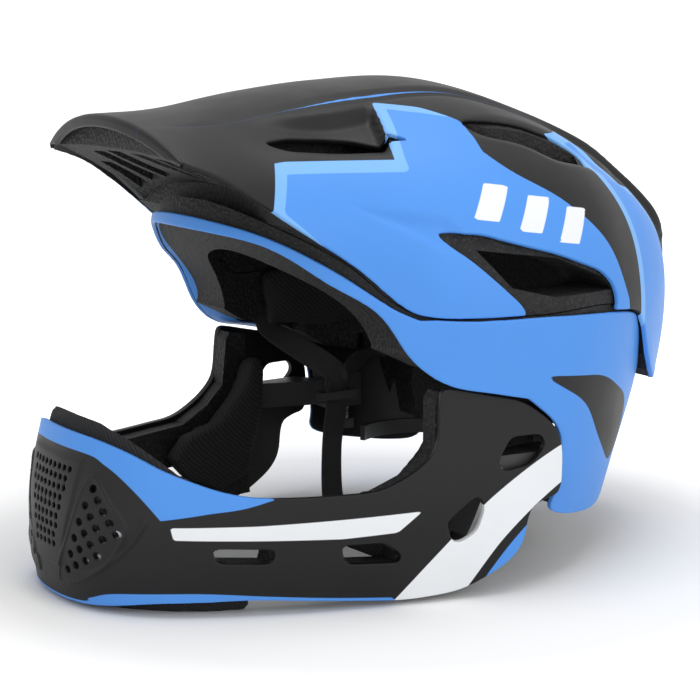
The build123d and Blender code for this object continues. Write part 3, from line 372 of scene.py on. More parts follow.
def port_line(turn):
    """The face port's edge on the lower shell at angles from the front, and the ways out of the
    shell there. The level is where the side view's edge line meets the shell, found by halving
    the step between the two again and again."""
    edge = np.array(smooth_line(side(port_edge)))
    level = np.full_like(turn, 0.6)
    for _ in range(30):
        wide, ahead, behind = between_rows(shell_rows, level)
        y = head_y - ahead * length * np.cos(turn)
        level = 0.5 * level + 0.5 * np.interp(y, edge[:, 0], edge[:, 1]) / height
    x = wide * half_width * np.sin(turn)
    out = np.stack([x / (wide * half_width)**2, (y - head_y) / (ahead * length)**2, 0 * x], axis=1)
    return np.stack([x, y, level * height], axis=1), out / np.linalg.norm(out, axis=1)[:, None]


def tube_faces(count, sides):
    """Triangles round a row of closed rings of points, with a flat fan over each end."""
    ring = np.arange(sides)
    base = np.arange(count - 1)[:, None] * sides
    quads = np.stack([base + ring, base + (ring + 1) % sides, base + sides + (ring + 1) % sides,
                      base + sides + ring], axis=2).reshape(-1, 4)
    fan = np.stack([np.zeros(sides - 2, int), ring[2:], ring[1:-1]], axis=1)
    return np.vstack([quads[:, [0, 1, 2]], quads[:, [0, 2, 3]], fan, (count - 1) * sides + fan[:, ::-1]])


def lip_mesh():
    """A thin strip that runs inwards from the port's edge. Each point of its closed section lies a
    distance inwards, which grows at the temples, and a distance back from the edge."""
    degrees = np.linspace(-84, 84, 241)
    line, out = port_line(np.radians(degrees))
    temple = rising(np.abs(degrees), 18, 40) * rising(80 - np.abs(degrees), 0, 14)
    wider = (1 + temple_more * temple)[:, None]
    ahead = np.gradient(line, axis=0)
    away = np.cross(out, ahead)
    away /= np.linalg.norm(away, axis=1)[:, None]
    away *= np.sign(away @ np.array([0.0, 0.5, 1.0]))[:, None]
    section = [(0.9, 0.7), (1.1, 0.3), (1.8, 0.25), (4.5, 0.9), (8.0, 1.6), (8.6, 1.9), (8.4, 2.4),
               (4.5, 1.9), (1.2, 1.2)]
    rings = np.stack([line - inward * wider * out + back * away for inward, back in section], axis=1)
    points, faces = rings.reshape(-1, 3), tube_faces(len(line), len(section))
    a, b, c = points[faces[:, 0]], points[faces[:, 1]], points[faces[:, 2]]
    volume = np.einsum("ij,ij->", a, np.cross(b, c))
    return points, faces if volume > 0 else faces[:, ::-1]


points, faces = lip_mesh()
lip_paint = paint_finish("port_lip_paint", [("all_blue", paint_blue)])
new_piece("port_lip", points, faces, lip_paint, "helmet", (),
          {"all_blue": np.full(len(points), 5.0), "painted": np.full(len(points), 3.0)})

# Crown shell: the upper moulding with the peak in one piece. It has a scoop and a long vent in
# front and behind on each side, a side window, and a lip that is folded down along the front.
crown_rows = [
    (-0.405, 0.559, 0.883, 0.947, 0.33, 0.67, 0.33), (-0.293, 0.620, 0.800, 0.954, 0.20, 0.62, 0.42),
    (-0.182, 0.750, 0.672, 0.978, 0.06, 0.57, 0.51), (-0.064, 0.925, 0.562, 0.995, 0.00, 0.55, 0.55),
    (0.074, 0.995, 0.552, 0.997, 0.00, 0.55, 0.55), (0.205, 0.945, 0.541, 0.946, 0.00, 0.60, 0.58),
    (0.320, 0.790, 0.480, 0.868, 0.00, 0.70, 0.60), (0.402, 0.560, 0.385, 0.790, -0.30, 0.80, 0.62),
    (0.457, 0.370, 0.375, 0.738, -0.45, 0.86, 0.66), (0.484, 0.260, 0.385, 0.724, -0.45, 0.88, 0.68),
    (0.500, 0.130, 0.420, 0.714, -0.45, 0.88, 0.68)]
side_vent = [(-0.070, 0.727), (-0.008, 0.722), (0.044, 0.699), (0.107, 0.675), (0.189, 0.632),
             (0.215, 0.598), (0.231, 0.500), (0.044, 0.500), (0.044, 0.575), (-0.015, 0.655)]
scoop = [(0.430, -0.246), (0.409, -0.201), (0.422, -0.153), (0.464, -0.118), (0.525, -0.086),
         (0.594, -0.052), (0.585, -0.068), (0.569, -0.109), (0.538, -0.151), (0.491, -0.219)]
rear_vent = [(0.543, 0.039), (0.528, 0.082), (0.495, 0.159), (0.496, 0.230), (0.512, 0.262),
             (0.626, 0.249), (0.682, 0.180), (0.638, 0.121), (0.615, 0.062)]
lip_height, lip_round = 4.5, 2.0
lip_corner, lip_nose = (0.62 * half_width, -0.385 * length), -0.405 * length
foot_turn, foot_drop = 0.1, 14.0
paint_pale = (0.190, 0.440, 0.850)
paint_white = (0.80, 0.82, 0.84)


def crown_surface(place, across):
    """The crown at shares of the length and at numbers from -1 to 1 across the arch: a cubic
    Bezier curve from the foot through two control points to the top, mirrored. Past one, the
    arch goes straight down."""
    half, edge, top, lean, rise, flat = between_rows(crown_rows, place)
    foot = half * half_width
    low, high = edge * height, top * height
    shoulder = low + rise * (high - low)
    t = 1 - np.minimum(np.abs(across), 1)
    drop = foot_drop * np.maximum(np.abs(across) - 1, 0) / foot_turn
    a, b, c, d = (1 - t)**3, 3 * t * (1 - t)**2, 3 * t**2 * (1 - t), t**3
    x = foot * (a + (1 - lean) * b + flat * c)
    z = low * a + shoulder * b + high * (c + d) - drop
    return np.stack([np.sign(across) * x, place * length + 0 * x, z], axis=-1)


def front_bow(x):
    """How far back the front edge lies at a distance from the middle: a shallow circle's arc
    through the nose and both corners."""
    sag = lip_corner[1] - lip_nose
    radius = (lip_corner[0]**2 + sag**2) / (2 * sag)
    return lip_nose + radius - np.sqrt(np.maximum(radius**2 - x**2, 1.0))


def crown_mesh(rows, columns):
    """The crown's outer side as a grid from the front bow to the tail. The tail is drawn in to the
    middle to close it, and the front is folded down through a quarter circle for the lip."""
    across = np.linspace(-1 - foot_turn, 1 + foot_turn, columns)[None, :]
    step = np.linspace(0, 1, rows)[:, None]
    first = np.full((1, columns), lip_nose / length)
    for _ in range(6):
        first = front_bow(crown_surface(first, across)[..., 0]) / length
    place = first + (crown_rows[-1][0] - first) * step
    body = crown_surface(place, across)
    front = body[0]
    back = front - body[1]
    back /= np.linalg.norm(back, axis=1)[:, None]
    turn = np.radians([30, 60, 90])
    up = np.array([0, 0, lip_round])
    fold = [front + back * lip_round * np.sin(a) - up * (1 - np.cos(a)) for a in turn]
    down = [fold[-1] - np.array([0, 0, d]) for d in np.linspace(0.6, lip_height - lip_round, 4)]
    lip = np.array((fold + down)[::-1])
    tail = body[-1][None]
    shrink = np.linspace(0.85, 0.0, 6)[:, None, None]
    cap = tail * np.concatenate([shrink, np.ones_like(shrink), np.ones_like(shrink)], axis=2)
    whole = np.concatenate([lip, body, cap])
    return whole.reshape(-1, 3), grid_faces(len(whole), columns)


def crown_keep(points):
    """Over zero above the crown's lower edge in the side view."""
    low = smooth_line(side(crown_edge, rim_round)) + side(crown_tail, rim_round)
    closed = low + [(length, 2 * height), (-length, 2 * height), (-length, low[0][1])]
    return inside(points[:, 1:], closed)


def above(shares):
    """Points seen from above in millimetres, from shares of the half width and the length."""
    return [(x * half_width, y * length) for x, y in shares]


def outside_of(outline, columns, mirrored=False):
    """A keep value that leaves out an outline, looking from the side or from above."""

    def keep(points):
        """How far the points lie outside the outline, less the rim's round."""
        flat = points[:, columns].copy()
        if mirrored:
            flat[:, 0] = np.abs(flat[:, 0])
        return -inside(flat, outline) - rim_round

    return keep


dip_deep, channel_deep, groove_deep, groove_half, dent_deep = 5.5, 1.5, 1.2, 3.2, 1.8
band_high, band_more, band_half, band_wider = 1.3, 2.7, 31.0, 3.0


def band_reach(y):
    """Half the width of the raised band, which grows a little behind the forehead."""
    return band_half + band_wider * rising(y, 20, 70)


def crown_relief(points, faces):
    """The crown's moulded relief, pushed along the normals: a dip that deepens back to each scoop
    and ends at a step, a raised band along the middle with a groove beside it, a channel that
    runs into each rear vent, and a dent before the side vent."""
    x, y, z = np.abs(points[:, 0]), points[:, 1], points[:, 2]
    over = np.stack([x, y], axis=1)
    dip = inside(over, smooth_line([(29, -96), (31, -72), (35, -51), (38, -33), (37, -10)])
                 + smooth_line([(72, -10), (68, -27), (60, -52), (50, -79), (40, -94), (29, -96)]))
    step_line = (x - 37.5) * 0.28 + (y + 17.5)
    push = -dip_deep * rising(dip, 0, 8) * rising(y, -86, -40) * rising(-step_line, 0, 3.6)
    channel = inside(over, smooth_line([(58, 4), (54, 25), (50, 48), (49, 72), (44, 100), (40, 112)])
                     + smooth_line([(54, 112), (62, 90), (74, 56), (70, 36), (66, 12), (58, 4)]))
    push -= channel_deep * rising(channel, -1, 4) * rising(y, 2, 30)
    past = x - band_reach(y)
    band = rising(-past, 0, 3.0) * rising(y, -110, -70) * rising(z, 92, 112)
    groove = rising(groove_half - np.abs(past - groove_half), 0, groove_half)
    groove *= rising(y, -60, -20) * rising(110 - y, 0, 40)
    push = push * rising(z, 140, 150) - groove_deep * groove
    push += band * (band_high + band_more * rising(y, 60, 110) * rising(z, 112, 150))
    dent = inside(points[:, 1:], [(-52, 163), (-14, 158), (-4, 140), (-20, 144)])
    push -= dent_deep * rising(dent, -1, 5)
    return points + push[:, None] * point_normals(points, faces)


vent_side = soft_corners(side(side_vent[:6] + [(0.222, 0.548), (0.044, 0.548)] + side_vent[8:]), 5.0)
vent_scoop = soft_corners(above(scoop), 4.0)
vent_rear = soft_corners(above(rear_vent), 5.0)
points, faces = crown_mesh(204, 213)
points = crown_relief(points, faces)
for keep in (crown_keep, outside_of(vent_side, [1, 2]), outside_of(vent_scoop, [0, 1], True),
             outside_of(vent_rear, [0, 1], True)):
    points, faces = trim(points, faces, keep)
points, faces, painted = walled(points, faces, skin)
flat = points[:, 1:]
over = np.stack([np.abs(points[:, 0]), points[:, 1]], axis=1)
front_panel = ([(-84, 160), (-82.6, 163.5), (-75.5, 179.5), (-71, 180), (-26, 179.8), (-22, 196), (3, 196)]
               + smooth_line([(9, 186), (22, 174), (44, 161), (64, 143), (76, 118)])
               + [(76, 100), (-20, 100)])
rear_panel = (smooth_line([(62, 186), (78, 170), (88, 148), (88, 118), (84, 96)])
              + [(84, 40), (160, 20), (160, 186)])
bridge = soft_corners([(37.5, -18), (50, -21.5), (68, -27), (90, -30), (96, 12), (58, 14), (46, 0)], 2.0)
front_value = inside(flat, front_panel)
front_value = np.minimum(front_value, np.maximum(over[:, 0] - 64.0, 181.5 - flat[:, 1]))
band_edge = 33 + 15 * rising(flat[:, 0], 50, 100) * rising(flat[:, 1], 105, 150)
rear_value = np.minimum(inside(flat, rear_panel), over[:, 0] - band_edge)
bridge_value = np.where(points[:, 2] > 150, inside(over, bridge), -20.0)
blue_value = np.maximum(np.maximum(front_value, rear_value), bridge_value)
pale_most, crest_line_off = 4.6, 0.5
not_rear = np.maximum(front_value, bridge_value) > rear_value
pale_wide = pale_most - pale_most * rising(flat[:, 0], -6, 14) * not_rear
bars = []
for number in range(3):
    start, top = 6 + 19 * number, 170 - 5.5 * number
    bar = [(start, top), (start + 11, top - 1.5), (start + 1, top - 15), (start - 10, top - 13.5)]
    bars.append(inside(flat, bar))
# The crest line is a thin blue stripe along the raised band's edge: partly a pinstripe, partly a painted
# highlight for the reflection streak along the ridge.
crest_half = 0.55 * np.minimum(rising(over[:, 1], -66, -20), rising(40 - over[:, 1], 0, 60)) - 0.05
crown_values = {"blue_area": blue_value, "painted": painted, "white_bars": np.max(bars, axis=0),
                "pale_edge": np.minimum(blue_value, pale_wide - blue_value),
                "crest_line": over[:, 0] - band_reach(over[:, 1]) - crest_line_off,
                "crest_width": crest_half}
crown_paint = paint_finish("crown_paint", [("blue_area", paint_blue), ("pale_edge", paint_pale),
                                           ("crest_line", paint_blue), ("white_bars", paint_white)])
new_piece("crown_skin", points, faces, crown_paint, "helmet",
          ["crown_shell"], crown_values)

# Chin bar shell: a horseshoe moulding with a perforated nose and four vents on each side. It is
# painted like the shells and slides on behind the ear flaps.
chin_wall, hole_round, vent_round, chin_most = 3.0, 0.4, 0.5, 0.445
chin_plan = [(0.000, -0.500), (0.265, -0.484), (0.493, -0.425), (0.664, -0.326), (0.806, -0.205),
             (0.910, -0.074), (0.976, 0.074), (0.970, 0.150)]
chin_levels = [(0.000, 0.955, 0.008), (0.100, 0.985, 0.000), (0.215, 1.000, 0.003), (0.360, 1.000, 0.026),
               (0.480, 1.000, 0.046)]
chin_top = [(-0.600, 0.345), (-0.477, 0.345), (-0.444, 0.321), (-0.411, 0.287), (-0.352, 0.249),
            (-0.310, 0.235), (-0.251, 0.233), (-0.156, 0.235), (-0.107, 0.268), (-0.075, 0.310),
            (-0.071, 0.414)]
chin_rear = [(-0.064, 0.430), (0.000, 0.408), (0.051, 0.392), (0.098, 0.340), (0.112, 0.298),
             (0.112, 0.196)]
chin_bottom = [(0.080, 0.187), (0.061, 0.172), (0.054, 0.100), (0.031, 0.062), (-0.021, 0.024),
               (-0.057, 0.014), (-0.116, 0.010), (-0.310, 0.033), (-0.425, 0.029), (-0.487, 0.008),
               (-0.600, 0.008)]
chin_vents = [
    [(0.011, 0.273), (0.031, 0.321), (0.077, 0.321), (0.084, 0.297), (0.061, 0.263), (0.021, 0.254)],
    [(-0.064, 0.163), (-0.031, 0.201), (-0.018, 0.211), (-0.008, 0.187), (-0.018, 0.139), (-0.041, 0.120),
     (-0.054, 0.124)],
    [(-0.205, 0.134), (-0.149, 0.134), (-0.126, 0.110), (-0.126, 0.091), (-0.198, 0.096)],
    [(-0.362, 0.139), (-0.287, 0.134), (-0.290, 0.105), (-0.356, 0.110)]]
plan = np.array(smooth_line([(-a, b) for a, b in chin_plan[:0:-1]] + chin_plan, 40))
run = np.concatenate([[0], np.cumsum(np.linalg.norm(np.diff(plan * [half_width, length], axis=0), axis=1))])


def chin_surface(along, level):
    """The chin bar at a distance along its plan curve from the nose and a share of the height: the
    plan is drawn in by a share of its width and moved back by a share of the length."""
    middle = run[-1] / 2
    across = np.interp(along + middle, run, plan[:, 0])
    ahead = np.interp(along + middle, run, plan[:, 1])
    shrink, back = between_rows(chin_levels, level)
    found = np.broadcast_arrays(across * half_width * shrink, (ahead + back) * length, level * height)
    return np.stack(found, axis=-1)


fine_hole, large_hole, hole_step, row_step = 1.25, 1.6, 3.9, 4.0


def hole_spots():
    """Places and radii of the breathing holes from the front: a middle field of fine holes in
    offset rows that narrows downwards, and on each side a triangle of larger ones, whose rows
    slant down and out."""
    spots = []
    for row in range(9):
        count = 9 - row // 2 - row % 2
        for place in range(count):
            spots.append(((place - (count - 1) / 2) * hole_step, 57.0 - row * row_step, fine_hole))
    for row, count in enumerate((5, 4, 4, 3, 2, 1)):
        for place in range(count):
            out, up = 29.5 - 2.6 * row + 2.75 * place, 51.3 - 7.1 * row - 4.3 * place
            spots += [(out, up, large_hole), (-out, up, large_hole)]
    return spots


def clear_of_holes(points):
    """Over zero outside every breathing hole, seen from the front; the rear half is left whole."""
    far = np.full(len(points), 9.0)
    for hx, hz, radius in hole_spots():
        far = np.minimum(far, np.hypot(points[:, 0] - hx, points[:, 2] - hz) - radius)
    return np.where(points[:, 1] < -60, far - hole_round, 9.0)


def chin_relief(points, faces):
    """The nose's moulded relief: a fine raised line round each triangle of holes and an arc
    outside it, and a broad panel round the middle field."""
    x, z = np.abs(points[:, 0]), points[:, 2]
    front = np.stack([x, z], axis=1)
    edge = inside(front, breather_edge)
    push = 0.7 * rising(0.9 - np.abs(edge), 0, 0.7) + 0.3 * rising(edge, -0.2, 0.8)
    arc = np.hypot(x - 14, z - 50) - 36.5
    push += 0.8 * rising(1.4 - np.abs(arc), 0, 1.2) * rising(x, 22, 34) * rising(44 - z, 0, 6)
    middle = inside(front, [(-1, 62), (22.5, 62), (20, 44), (12, 16), (-1, 16)])
    push += 0.7 * rising(middle, -0.3, 1.2)
    push = np.where(points[:, 1] < -90, push, 0.0)
    return points + push[:, None] * point_normals(points, faces)


breather_edge = smooth_line([(27, 55.5), (24.5, 51), (19.5, 36), (10, 13.5), (12.5, 9.5), (24, 12.5),
                             (35, 20), (42, 31), (43, 38), (36, 48), (30, 55.5), (27, 55.5)])
nose, half_run = 72.0, run[-1] / 2
fine = np.concatenate([np.linspace(-half_run, -nose, 95)[:-1], np.linspace(-nose, nose, 230),
                       np.linspace(nose, half_run, 95)[1:]])[None, :]
level = np.linspace(0.0, chin_most, 108)[:, None]
points = chin_surface(fine, level).reshape(-1, 3)
faces = grid_faces(level.size, fine.size)
points = chin_relief(points, faces)
outline = soft_corners(side(chin_top + chin_rear + chin_bottom), 7.0)
points, faces = trim(points, faces, lambda p: inside(p[:, 1:], outline) - vent_round)
for vent in chin_vents:
    hole = soft_corners(side(vent), 3.0)
    points, faces = trim(points, faces, lambda p: -inside(p[:, 1:], hole) - vent_round)
points, faces = trim(points, faces, clear_of_holes)
points, faces, painted = walled(points, faces, chin_wall, hole_round)
flat = points[:, 1:]
upper_trim = (smooth_line([(-165, 65.5), (-146, 64.6), (-141, 60.8), (-136, 54), (-127.5, 40.8)])
              + smooth_line([(-110.7, 43.6), (-99, 45.2), (-88, 48.4)]) + [(-88, 90), (-180, 90)])
lower_trim = (smooth_line([(-165, 1.5), (-148, 3.5), (-146, 5.8), (-139, 9.3), (-116, 10.5),
                           (-88, 8.2), (-68, 6.3), (-40, 4)]) + [(-30, -10), (-160, -10)])
sweep_white = (smooth_line([(-40, 2), (-22, 22), (2, 44), (34, 62), (60, 66)])
               + smooth_line([(60, 52), (34, 46), (8, 26), (-10, 2)]))
sweep_blue = smooth_line([(-6, 0), (12, 24), (36, 44), (62, 50)]) + [(62, 0)]
stripe = soft_corners([(-124.5, 38), (-123.5, 33), (-94, 32), (-62, 31), (-40, 32), (-30, 40),
                       (-60, 39), (-94, 38)], 1.0)
chin_layers = [("upper_trim", upper_trim, paint_blue), ("lower_trim", lower_trim, paint_blue),
               ("sweep_white", sweep_white, paint_white), ("sweep_blue", sweep_blue, paint_blue),
               ("stripe", stripe, paint_white)]
chin_values = {title: inside(flat, area) for title, area, paint in chin_layers}
chin_values["painted"] = painted
chin_paint = paint_finish("chin_paint", [(title, paint) for title, area, paint in chin_layers])
new_piece("chin_skin", points, faces, chin_paint, "chin_bar", ["chin_shell"], chin_values)

# Impact foam: the upper, lower and peak blocks inside the shells and the lining of the chin bar,
# all moulded from small black beads that show as a fine rounded grain.


def bead_foam(name, dark, speckled):
    """Bead foam: rounded cells a few millimetres across, dark between them."""
    material, make, join = shader(name, 0.72, 0.35)
    place = make("TexCoord").outputs["Object"]
    cells = make("TexVoronoi", Vector=place, Scale=560.0)
    fine = make("TexNoise", Vector=place, Scale=1100.0, Detail=3.0)
    shade = spread(make, cells.outputs["Distance"], 0.1, 0.75, 1.0, 0.0)
    speck = spread(make, fine.outputs["Fac"], 0.45, 0.68)
    beads = make("Math", {"operation": "MULTIPLY"}, _0=shade, _1=speck)
    join(blend_colour(make, beads.outputs[0], dark, speckled), "Base Color")
    join(spread(make, fine.outputs["Fac"], 0.3, 0.7, 0.6, 0.85), "Roughness")
    round_cells = make("Math", {"operation": "MULTIPLY_ADD"}, _0=fine.outputs["Fac"], _1=0.25, _2=shade)
    roughen(make, join, round_cells.outputs[0], 0.55, 0.0006)
    return material


def finish_node(names, material):
    """Gives solids that keep their shape their material."""
    for name in names:
        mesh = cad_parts[name].data
        mesh.materials.clear()
        mesh.materials.append(material)


# The foam inside the shells and the chin bar takes a darker copy of the bead foam than the peak block: the
# foam is black, and the extra darkness is painted shade for the dark inside of the helmet.
liner_beads_painted_shade = bead_foam("bead_foam", (0.0040, 0.0040, 0.0044), (0.052, 0.050, 0.048))
finish_node(["upper_foam", "lower_foam", "chin_liner"], liner_beads_painted_shade)
peak_beads = bead_foam("peak_bead_foam", (0.0090, 0.0090, 0.0095), (0.090, 0.088, 0.085))
finish_node(["peak_foam"], peak_beads)

# Comfort pads: soft foam under brushed knit cloth, held with fastening discs. Each is blown up a
# little from its slim shape, and rests in the head space or on the rim of the chin bar.


def pad_cloth(name):
    """Brushed knit: rows of fine loops under a soft sheen."""
    material, make, join = shader(name, 0.92, 0.25)
    place = make("TexCoord").outputs["Object"]
    loops = make("TexWave", {"wave_type": "BANDS", "bands_direction": "DIAGONAL"}, Vector=place,
                 Scale=260.0, Distortion=3.0, Detail=2.0)
    fuzz = make("TexNoise", Vector=place, Scale=1800.0, Detail=4.0)
    tone = make("Math", {"operation": "MULTIPLY"}, _0=loops.outputs["Fac"], _1=fuzz.outputs["Fac"])
    join(blend_colour(make, tone.outputs[0], (0.012, 0.012, 0.013), (0.040, 0.040, 0.042)), "Base Color")
    roughen(make, join, tone.outputs[0], 0.4, 0.0005)
    return material


knit = pad_cloth("pad_knit")
pad_voxel, pad_pressure, pad_most, pad_frames = 0.0028, 3.0, 0.0012, 12


def soft_pad(node, body):
    """A padded copy of a slim solid: remeshed evenly, drawn in a little, blown up as cloth, with no
    point moved further than a cap, then smoothed."""
    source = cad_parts[node]
    mesh = source.data.copy()
    mesh.materials.clear()
    mesh.materials.append(knit)
    piece = bpy.data.objects.new(node + "_cushion", mesh)
    bpy.context.scene.collection.objects.link(piece)
    bpy.context.view_layer.objects.active = piece
    piece.modifiers.new("merge", "WELD").merge_threshold = 1e-5
    remesh = piece.modifiers.new("even", "REMESH")
    remesh.mode = "VOXEL"
    remesh.voxel_size = pad_voxel
    smooth = piece.modifiers.new("round", "SMOOTH")
    smooth.factor = 0.5
    smooth.iterations = 4
    depsgraph = bpy.context.evaluated_depsgraph_get()
    even = bpy.data.meshes.new_from_object(piece.evaluated_get(depsgraph))
    piece.modifiers.clear()
    piece.data = even
    count = len(even.vertices)
    start = np.empty(count * 3)
    even.vertices.foreach_get("co", start)
    cloth = piece.modifiers.new("air", "CLOTH")
    cloth.settings.use_pressure = True
    cloth.settings.uniform_pressure_force = pad_pressure
    cloth.settings.effector_weights.gravity = 0.0
    cloth.settings.tension_stiffness = 15.0
    cloth.point_cache.frame_start = 1
    cloth.point_cache.frame_end = pad_frames
    for number in range(1, pad_frames + 1):
        bpy.context.scene.frame_set(number)
    depsgraph = bpy.context.evaluated_depsgraph_get()
    blown = bpy.data.meshes.new_from_object(piece.evaluated_get(depsgraph))
    end = np.empty(count * 3)
    blown.vertices.foreach_get("co", end)
    piece.modifiers.clear()
    move = (end - start).reshape(-1, 3)
    far = np.linalg.norm(move, axis=1)[:, None]
    move *= np.minimum(1.0, pad_most / np.maximum(far, 1e-9))
    even.vertices.foreach_set("co", (start.reshape(-1, 3) + move).ravel())
    bpy.context.scene.frame_set(1)
    even.update()
    even.shade_smooth()
    finer = piece.modifiers.new("finer", "SUBSURF")
    finer.levels = finer.render_levels = 1
    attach(piece, body)
    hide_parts(node)


for node in ("brow_pad", "crown_pad", "side_pad_left", "side_pad_right", "nape_pad"):
    soft_pad(node, "helmet")
for node in ("mouth_pad", "chin_rim_pad", "cheek_pad_left", "cheek_pad_right"):
    soft_pad(node, "chin_bar")

# Straps: flat polyester webbing, woven and heat cut. Two legs hang from pins in the foam on each
# side, join at a divider, and run on as one band to the buckle under the chin.
strap_wide, strap_thick = 12.0, 1.4


def woven(name):
    """Webbing: a twill of fine yarns, a little lighter on the raised ones."""
    material, make, join = shader(name, 0.8, 0.3)
    place = make("TexCoord").outputs["Object"]
    first = make("TexWave", {"bands_direction": "Z"}, Vector=place, Scale=420.0, Distortion=0.4)
    second = make("TexWave", {"bands_direction": "Y"}, Vector=place, Scale=420.0, Distortion=0.4)
    yarn = make("Math", {"operation": "MAXIMUM"}, _0=first.outputs["Fac"], _1=second.outputs["Fac"])
    join(blend_colour(make, yarn.outputs[0], (0.010, 0.010, 0.011), (0.034, 0.034, 0.036)), "Base Color")
    roughen(make, join, yarn.outputs[0], 0.5, 0.0004)
    return material


webbing = woven("strap_weave")


def band(path, widths):
    """A flat band along a smooth curve: at each point a rounded slab, whose outline takes powers of
    the cosine and the sine, across the given direction. Returns points and faces."""
    line = np.array(smooth_line(path, 14))
    wide_way = np.array(smooth_line(widths, 14))
    ahead = np.gradient(line, axis=0)
    ahead /= np.linalg.norm(ahead, axis=1)[:, None]
    wide_way -= (wide_way * ahead).sum(axis=1)[:, None] * ahead
    wide_way /= np.linalg.norm(wide_way, axis=1)[:, None]
    thin_way = np.cross(ahead, wide_way)
    angle = np.linspace(0, 2 * np.pi, 17)[:-1]
    a = np.sign(np.cos(angle)) * np.abs(np.cos(angle))**0.35 * strap_wide / 2
    b = np.sign(np.sin(angle)) * np.abs(np.sin(angle))**0.5 * strap_thick / 2
    rings = line[:, None] + a[None, :, None] * wide_way[:, None] + b[None, :, None] * thin_way[:, None]
    return rings.reshape(-1, 3), tube_faces(len(line), len(angle))


def strap_mesh(way, end_x):
    """One whole strap: two legs, the joined run and the flat end in the buckle."""
    legs = [([(85, 4, 94.7), (85, 4, 86.7), (73, 15.5, 77), (61, 27, 66), (61, 27, 56)],
             [(0, 1, 0), (0, 1, 0), (0, 0.73, 0.69), (0, 0.8, 0.6), (0, 1, 0)]),
            ([(80, 61, 77.7), (80, 61, 70), (70, 44, 69), (61.6, 28, 65), (61.6, 27, 56)],
             [(0, 1, 0), (0, 1, 0.3), (0, 0.5, 0.85), (0, 0.8, 0.5), (0, 1, 0)]),
            ([(61, 27, 58), (61, 27, 50), (57, 22, 34), (51, 18, 15), (45, 16, 8), (36, 16, 6.5),
              (end_x, 16, 6.5)],
             [(0, 1, 0), (0, 1, -0.2), (0, 0.8, -0.6), (0, 0.9, -0.3), (0, 1, -0.1), (0, 1, 0),
              (0, 1, 0)])]
    points, faces, count = [], [], 0
    for path, widths in legs:
        p, f = band(path, widths)
        points.append(p)
        faces.append(f + count)
        count += len(p)
    points, faces = np.vstack(points), np.vstack(faces)
    if way < 0:
        points = points * [-1, 1, 1]
        faces = faces[:, ::-1]
    return points, faces


points, faces = strap_mesh(1, 20.0)
new_piece("strap_left_band", points, faces, webbing, "helmet", ["strap_left"])
points, faces = strap_mesh(-1, 26.0)
new_piece("strap_right_band", points, faces, webbing, "helmet", ["strap_right"])

# Plastic fittings: the latches, buttons, cradle, dial, dividers, anchors and buckle are moulded in
# black nylon with a fine sandblasted skin.


def moulded(name, colour, roughness):
    """Moulded nylon: a sandblasted grain with slightly worn high spots."""
    material, make, join = shader(name, roughness, 0.5)
    place = make("TexCoord").outputs["Object"]
    grain = make("TexNoise", Vector=place, Scale=2200.0, Detail=4.0)
    cloud = make("TexNoise", Vector=place, Scale=120.0, Detail=4.0)
    join(blend_colour(make, cloud.outputs["Fac"], colour, tuple(1.6 * c for c in colour)), "Base Color")
    worn = spread(make, cloud.outputs["Fac"], 0.3, 0.7, roughness - 0.06, roughness + 0.08)
    join(worn, "Roughness")
    roughen(make, join, grain.outputs["Fac"], 0.2, 0.0002)
    return material


nylon = moulded("black_nylon", (0.014, 0.014, 0.015), 0.48)
finish_node(["latch_tongue_left", "latch_tongue_right", "latch_socket_left", "latch_socket_right",
             "release_button_left", "release_button_right", "cradle_housing", "cradle_hanger",
             "adjuster_dial", "headband_left", "headband_right", "strap_anchors", "strap_divider_left",
             "strap_divider_right", "buckle_socket", "buckle_clip"], nylon)
finish_node(["pad_dots"], woven("hook_tape"))

# Metal pieces: coil springs of round steel wire behind the buttons, which are wound about the
# tongues, and set aluminium rivets in the tongues and the hanger.
coil_turns, flat_turns, wire_round, coil_low, coil_high = 5.5, 0.75, 0.42, 38.3, 44.2
coil_x, coil_y, coil_half_x, coil_half_y, wire_sides = 86.0, 45.0, 3.05, 3.65, 8


def metal(name, colour, roughness):
    """Drawn metal: fine streaks in the gloss."""
    material, make, join = shader(name, roughness)
    material.node_tree.nodes["Principled BSDF"].inputs["Metallic"].default_value = 1.0
    place = make("TexCoord").outputs["Object"]
    drawn = make("Mapping", Vector=place, Scale=(40, 40, 900)).outputs[0]
    streak = make("TexNoise", Vector=drawn, Scale=3.0, Detail=3.0)
    join(blend_colour(make, streak.outputs["Fac"], tuple(0.8 * c for c in colour), colour), "Base Color")
    worn = spread(make, streak.outputs["Fac"], 0.3, 0.7, roughness - 0.05, roughness + 0.1)
    join(worn, "Roughness")
    return material


def button_coil(sign):
    """A coil of round wire about the latch tongue: powers of the cosine and the sine square its
    turns, and the height stays level along both end turns and grows evenly between them."""
    turned = np.linspace(0, coil_turns, 241)
    angle = 2 * np.pi * turned
    out_x = np.sign(np.cos(angle)) * np.abs(np.cos(angle))**0.6
    out_y = np.sign(np.sin(angle)) * np.abs(np.sin(angle))**0.6
    rise = np.clip((turned - flat_turns) / (coil_turns - 2 * flat_turns), 0, 1)
    z = coil_low + wire_round + (coil_high - coil_low - 2 * wire_round) * rise
    centre = np.stack([coil_x + coil_half_x * out_x, coil_y + coil_half_y * out_y, z], axis=1)
    outward = np.stack([np.cos(angle), np.sin(angle), 0 * angle], axis=1)
    spin = np.linspace(0, 2 * np.pi, wire_sides + 1)[:-1, None]
    upward = np.sin(spin) * np.array([[0, 0, 1]])
    rings = centre[:, None] + wire_round * (np.cos(spin) * outward[:, None] + upward)
    faces = tube_faces(len(centre), wire_sides)
    return rings.reshape(-1, 3) * [sign, 1, 1], faces[:, ::-1] if sign > 0 else faces


steel = metal("spring_steel", (0.5, 0.5, 0.52), 0.3)
for hand, sign in (("left", 1), ("right", -1)):
    points, faces = button_coil(sign)
    coil = new_piece("button_coil_" + hand, points, faces, steel, "helmet",
                     ["button_spring_" + hand])
    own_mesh(coil)
finish_node(["tongue_rivets", "hanger_rivets"], metal("rivet_aluminium", (0.62, 0.62, 0.64), 0.35))

